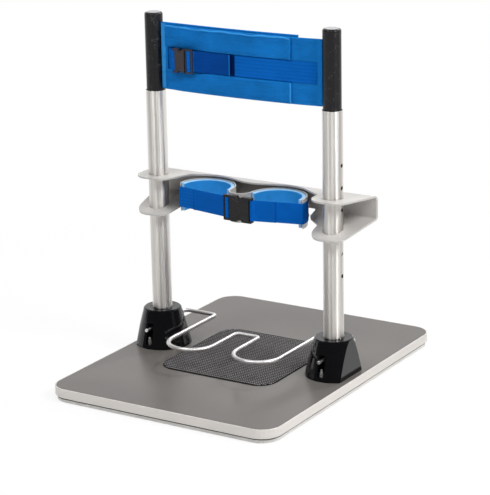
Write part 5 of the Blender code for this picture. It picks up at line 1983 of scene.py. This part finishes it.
    def bound_edges(self, flap: Flap, low: float, high: float, lifted: Relief) -> None:
        """Bind a flap's edges, one of them pale: the upper flap's top, and the lower one's end as a
        painted highlight.

        Args:
            flap: Which one.
            low: The flap's lower edge.
            high: The flap's upper edge.
            lifted: Gives how far the flap curls off the belt.
        """
        inset, tall = self.binding, high - low
        rim = self.flap_path(GAP + self.binding_depth, self.binding_steps)
        lower, upper = [], []
        for x, y in rim:
            run = x - self.flap_start
            wave = sum(size * math.sin(run * rate + first) for size, rate, first in self.light_hem_waves)
            lower.append((x, y - lifted(run, 0.0), low + inset))
            upper.append((x, y - lifted(run, tall) - self.light_hem_out,
                          high - inset - self.light_hem_sunk + wave))
        rises = spread(inset, tall - inset, self.end_steps)
        x, y = rim[0]
        start = [(x + self.binding_inset, y, low + rise) for rise in rises]
        x, y = rim[-1]
        end = [(x - self.end_inset, y - lifted(x - self.flap_start, rise), low + rise)
               for rise in rises]
        # the lower flap's pale end is a painted highlight on its lit end face
        light_hem, last = (upper, end) if flap is Flap.UPPER else (end, upper)
        plain = merged(tube_shape(line, self.binding) for line in (lower, start, last))
        name = f"belt_pad_{flap.value}"
        self.cloth_piece(f"{name}_binding", plain, Finishes.BINDING)
        self.cloth_piece(f"{name}_worn_hem", tube_shape(light_hem, self.light_hem), Finishes.PALE)

    def tape_shape(self, path: Plan, high: float) -> Shape:
        """Return a hem tape along a path, up to a top edge of the cloth."""
        return Band(path, self.low + self.tape_margin, high - self.tape_margin, self.tape,
                    self.tape_edge, self.tape_thin).shape()

    def hems(self) -> None:
        """Sew a hem tape along both tubes and close the flaps beside the buckle."""
        depth = GAP + self.tape / 2
        first = -self.reach + self.tape_off
        places = (first, (first + self.flap_start) / 2, self.flap_start - self.tape_gap)
        left = [(x, self.face(x) - depth) for x in places]
        self.cloth_piece("belt_hem_left", self.tape_shape(left, self.high), Finishes.PALE)
        places = spread(self.web_end + self.tape_off, self.web_end + self.hem, self.tape_steps)
        right = [(x, self.right_face(x) - depth) for x in places]
        tape = self.tape_shape(right, self.lapped_high)
        self.cloth_piece("belt_hem_right", tape, Finishes.BINDING)
        join = [(x, self.face(x) - GAP - self.join / 2) for x in self.join_places]
        band = Band(join, self.channel_low - self.join_lap, self.channel_high + self.join_lap,
                    self.join, self.join_edge, self.join_thin)
        self.cloth_piece("belt_flap_join", band.shape(), Finishes.CLOTH)

    def strap(self) -> None:
        """Make the long strap: along the channel, through the ladder frame and back."""
        b, web = self.buckle(), self.webbing
        entry = b.edge + WEB_WIDTH
        depth = GAP + web.thick / 2
        path = [(x, self.face(x) - depth) for x in spread(self.web_end, entry, self.steps)]
        ladder = b.ladder(web.thick, web.loose)
        flat = self.face(self.tail) - depth - web.layer
        path = path[:-1] + filleted([
            (*path[-1], 0), *ladder, (b.edge + b.bar, ladder[3][1], web.layer),
            (entry, self.face(entry) - depth - web.layer, 2 * web.layer),
            (self.tail - self.fold, flat, self.tail_bend), (self.tail, flat - self.lift, 0)])
        band = web.band(path, self.web_height)
        strap = self.shop.piece("belt_web", band.shape(), Finishes.WEBBING, None,
                                stands_for="belt_strap", slot="webbing")
        # painted highlight: the tail's folded end is lighter where it catches light
        folded = self.fold * self.fold_highlight_share
        band.ends_in(strap, Finishes.TAIL, self.tail - b.edge, folded)
        band.ends_in(strap, Finishes.BINDING, folded)
        # painted shadow: a dark stripe on the strap beside the tail's lifted fold
        under = band.runs()[-1] - (self.web_end - self.tail)
        before, after = self.creased
        band.ends_in(strap, Finishes.CREASED, under + before, under - after)
        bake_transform(strap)

    def tie(self) -> None:
        """Make the short webbing that ties the shell to the left wing."""
        b, web = self.buckle(), self.webbing
        slot, front = b.end_slot, b.middle - b.clear(web.thick)
        depth = GAP + web.thick / 2
        bottom = self.face(self.anchor) - depth
        path = filleted([
            (self.anchor, bottom - web.layer, 0), (b.end - web.layer, front, web.thick),
            (slot, front, web.thick), (slot, self.face(slot) - depth, web.thick),
            (self.anchor, bottom, 0)])
        self.shop.piece("belt_tie", web.band(path, self.web_height).shape(), Finishes.WEBBING,
                        Body.BELT, stands_for="belt_anchor", slot="webbing")

    def sewn_row(self, x: float, y: float, low: float, high: float) -> list[Stitch]:
        """Return an upright row of stitches between two heights."""
        count = max(2, round((high - low) / self.sew_pitch))
        return upright_row(x, y, spread(low, high, count))

    def sewing(self) -> None:
        """Sew the hems, the flaps' edges and the strap's end."""
        low, tape = self.low + self.sew_margin, GAP + self.tape
        stitches: list[Stitch] = []
        outer, inner = self.left_rows
        for x in (-self.reach + outer, self.flap_start - inner):
            stitches += self.sewn_row(x, self.face(x) - tape, low, self.high - self.sew_margin)
        for x in (self.web_end + inset for inset in self.right_rows):
            high = self.lapped_high - self.sew_margin
            stitches += self.sewn_row(x, self.right_face(x) - tape, low, high)
        places = self.flap_path(GAP + self.pad + self.flap_sew_lift, self.flap_stitches)
        inset = self.flap_sewn
        for z in (self.channel_high + inset, self.lapped_high - inset, self.low + inset,
                  self.channel_low - inset):
            for a, b in zip(places[1:], places[2:-1]):
                spot = Vector(((a[0] + b[0]) / 2, (a[1] + b[1]) / 2, z))
                stitches.append(Stitch(spot, Vector((b[0] - a[0], b[1] - a[1], 0))))
        face = GAP + self.webbing.thick
        low, high = self.web_height - self.web_reach, self.web_height + self.web_reach
        for x in (self.web_end - inset for inset in self.web_rows):
            stitches += self.sewn_row(x, self.face(x) - face, low, high)
        shape = merged(stitch.shape() for stitch in stitches)
        self.cloth_piece("belt_sewing", shape, Finishes.THREAD)


@dataclass(frozen=True)
class Lamp:
    """A round soft lamp that is aimed at the middle of the object."""

    name: str
    place: Point
    size: float
    power: float
    target: Point = (0.0, 0.0, 0.4)

    def hang(self) -> None:
        """Add the lamp to the scene."""
        lamp = bpy.data.lights.new(self.name, "AREA")
        lamp.shape = "DISK"
        lamp.size = self.size
        lamp.energy = self.power
        item = bpy.data.objects.new(self.name, lamp)
        bpy.context.scene.collection.objects.link(item)
        item.location = self.place
        aim = Vector(self.target) - Vector(self.place)
        item.rotation_euler = aim.to_track_quat("-Z", "Y").to_euler()


@dataclass
class Studio:
    """The pale floor, the soft light and the camera."""

    azimuth: float = 31.890
    pitch: float = 16.650
    roll: float = -1.105
    unit: float = 0.825
    right_shift: float = -0.005382
    up_shift: float = 0.320749
    distance: float = 6.121524
    focal: float = 2083.96
    tall: int = 495
    sensor: float = 36.0
    far: float = 100.0
    floor: Colour = (0.92, 0.92, 0.92)
    floor_half: float = 30.0
    floor_rough: float = 0.9
    floor_specular: float = 0.1
    floor_fade: Span = (0.5, 1.6)
    floor_white: float = 0.80
    dim: float = 0.20
    mirrored: float = 0.11
    backdrop: Span = (0.4, 0.95)
    backdrop_tilt: float = 0.35
    lamps: tuple[Lamp, ...] = (
        Lamp("left_lamp", (-0.8, -1.9, 3.3), 1.6, 46.0),
        Lamp("right_lamp", (2.4, -0.2, 2.6), 1.4, 62.0),
        Lamp("front_lamp", (1.3, -1.75, 3.0), 0.7, 17.0),
        Lamp("back_lamp", (0.5, 2.6, 2.9), 0.40, 40.0))

    def build(self) -> None:
        """Set up everything that is not part of the object."""
        bpy.context.scene.view_settings.view_transform = "Standard"
        self.ground()
        self.sky()
        for lamp in self.lamps:
            lamp.hang()
        self.camera()

    def ground(self) -> None:
        """Lay a wide pale floor that is white to the camera but keeps shadows."""
        mesh = bpy.data.meshes.new("floor")
        size = self.floor_half
        corners = [(-size, -size, 0), (size, -size, 0), (size, size, 0), (-size, size, 0)]
        mesh.from_pydata(corners, [], [(0, 1, 2, 3)])
        item = bpy.data.objects.new("floor", mesh)
        bpy.context.scene.collection.objects.link(item)
        graph = Graph("pale_floor")
        graph.fix("Base Color", (*self.floor, 1.0))
        graph.fix("Roughness", self.floor_rough)
        graph.fix("Specular IOR Level", self.floor_specular)
        rays = graph.nodes.new("ShaderNodeLightPath").outputs
        seen = graph.math("MAXIMUM", rays["Is Camera Ray"], rays["Is Glossy Ray"])
        seen = graph.math("MAXIMUM", seen, rays["Is Transmission Ray"])
        off = graph.result("ShaderNodeVectorMath", {0: graph.place}, "Value", operation="LENGTH")
        share = graph.product(seen, graph.span(off, *self.floor_fade, self.floor_white, 1.0))
        glow = graph.result("ShaderNodeEmission", {})
        mix = graph.result("ShaderNodeMixShader", {0: share, 1: graph.shader.outputs[0], 2: glow})
        graph.feed(graph.nodes["Material Output"].inputs["Surface"], mix)
        mesh.materials.append(graph.material)

    def sky(self) -> None:
        """Put white behind the object and a dim room before it, all white to the camera."""
        world = bpy.data.worlds.new("soft_white")
        bpy.context.scene.world = world
        world.use_nodes = True
        tree = Tree(world.node_tree)
        back = tree.nodes["Background"].inputs
        tree.feed(back["Color"], (1.0, 1.0, 1.0, 1.0))
        turn = math.radians(self.azimuth)
        behind = (-math.sin(turn), math.cos(turn), self.backdrop_tilt)
        way = tree.nodes.new("ShaderNodeTexCoord").outputs["Generated"]
        facing = tree.result("ShaderNodeVectorMath", {0: way, 1: behind}, "Value",
                             operation="DOT_PRODUCT")
        rays = tree.nodes.new("ShaderNodeLightPath").outputs
        room = tree.span(rays["Is Glossy Ray"], 0.0, 1.0, self.dim, self.mirrored)
        tone = tree.span(facing, *self.backdrop, room, 1.0, interpolation_type="SMOOTHSTEP")
        inputs = {0: rays["Is Camera Ray"], 2: tone, 3: 1.0}
        tree.feed(back["Strength"], tree.result("ShaderNodeMix", inputs, data_type="FLOAT"))

    def camera(self) -> None:
        """Stand the camera where the photograph was taken from."""
        turn, dip, tilt = (math.radians(v) for v in (self.azimuth, self.pitch, self.roll))
        right = Vector((math.cos(turn), math.sin(turn), 0))
        back = Vector((math.sin(turn) * math.cos(dip), -math.cos(turn) * math.cos(dip),
                       math.sin(dip)))
        up = back.cross(right)
        across = right * math.cos(tilt) + up * math.sin(tilt)
        above = up * math.cos(tilt) - right * math.sin(tilt)
        place = back * self.distance + across * self.right_shift + above * self.up_shift
        place = place * self.unit + Vector((0, 0, BASE_TOP))
        lens = bpy.data.cameras.new("photo_camera")
        lens.sensor_fit = "AUTO"
        lens.sensor_width = self.sensor
        lens.lens = self.focal / self.tall * lens.sensor_width
        lens.clip_end = self.far
        item = bpy.data.objects.new("photo_camera", lens)
        bpy.context.scene.collection.objects.link(item)
        rows = [(across[i], above[i], back[i], place[i]) for i in range(3)]
        item.matrix_world = Matrix((*rows, (0, 0, 0, 1)))
        bpy.context.scene.camera = item


def main() -> None:
    """Build the studio and every sub-assembly in order."""
    logging.basicConfig(level=logging.INFO, format="%(message)s")
    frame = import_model()
    Studio().build()
    shop = Workshop(frame)
    for kind in (Base, HeelGuide, Uprights, KneeSupport, PelvicBelt):
        kind(shop).build()
        LOG.info("built the %s", kind.__name__)


if __name__ == "__main__":
    main()
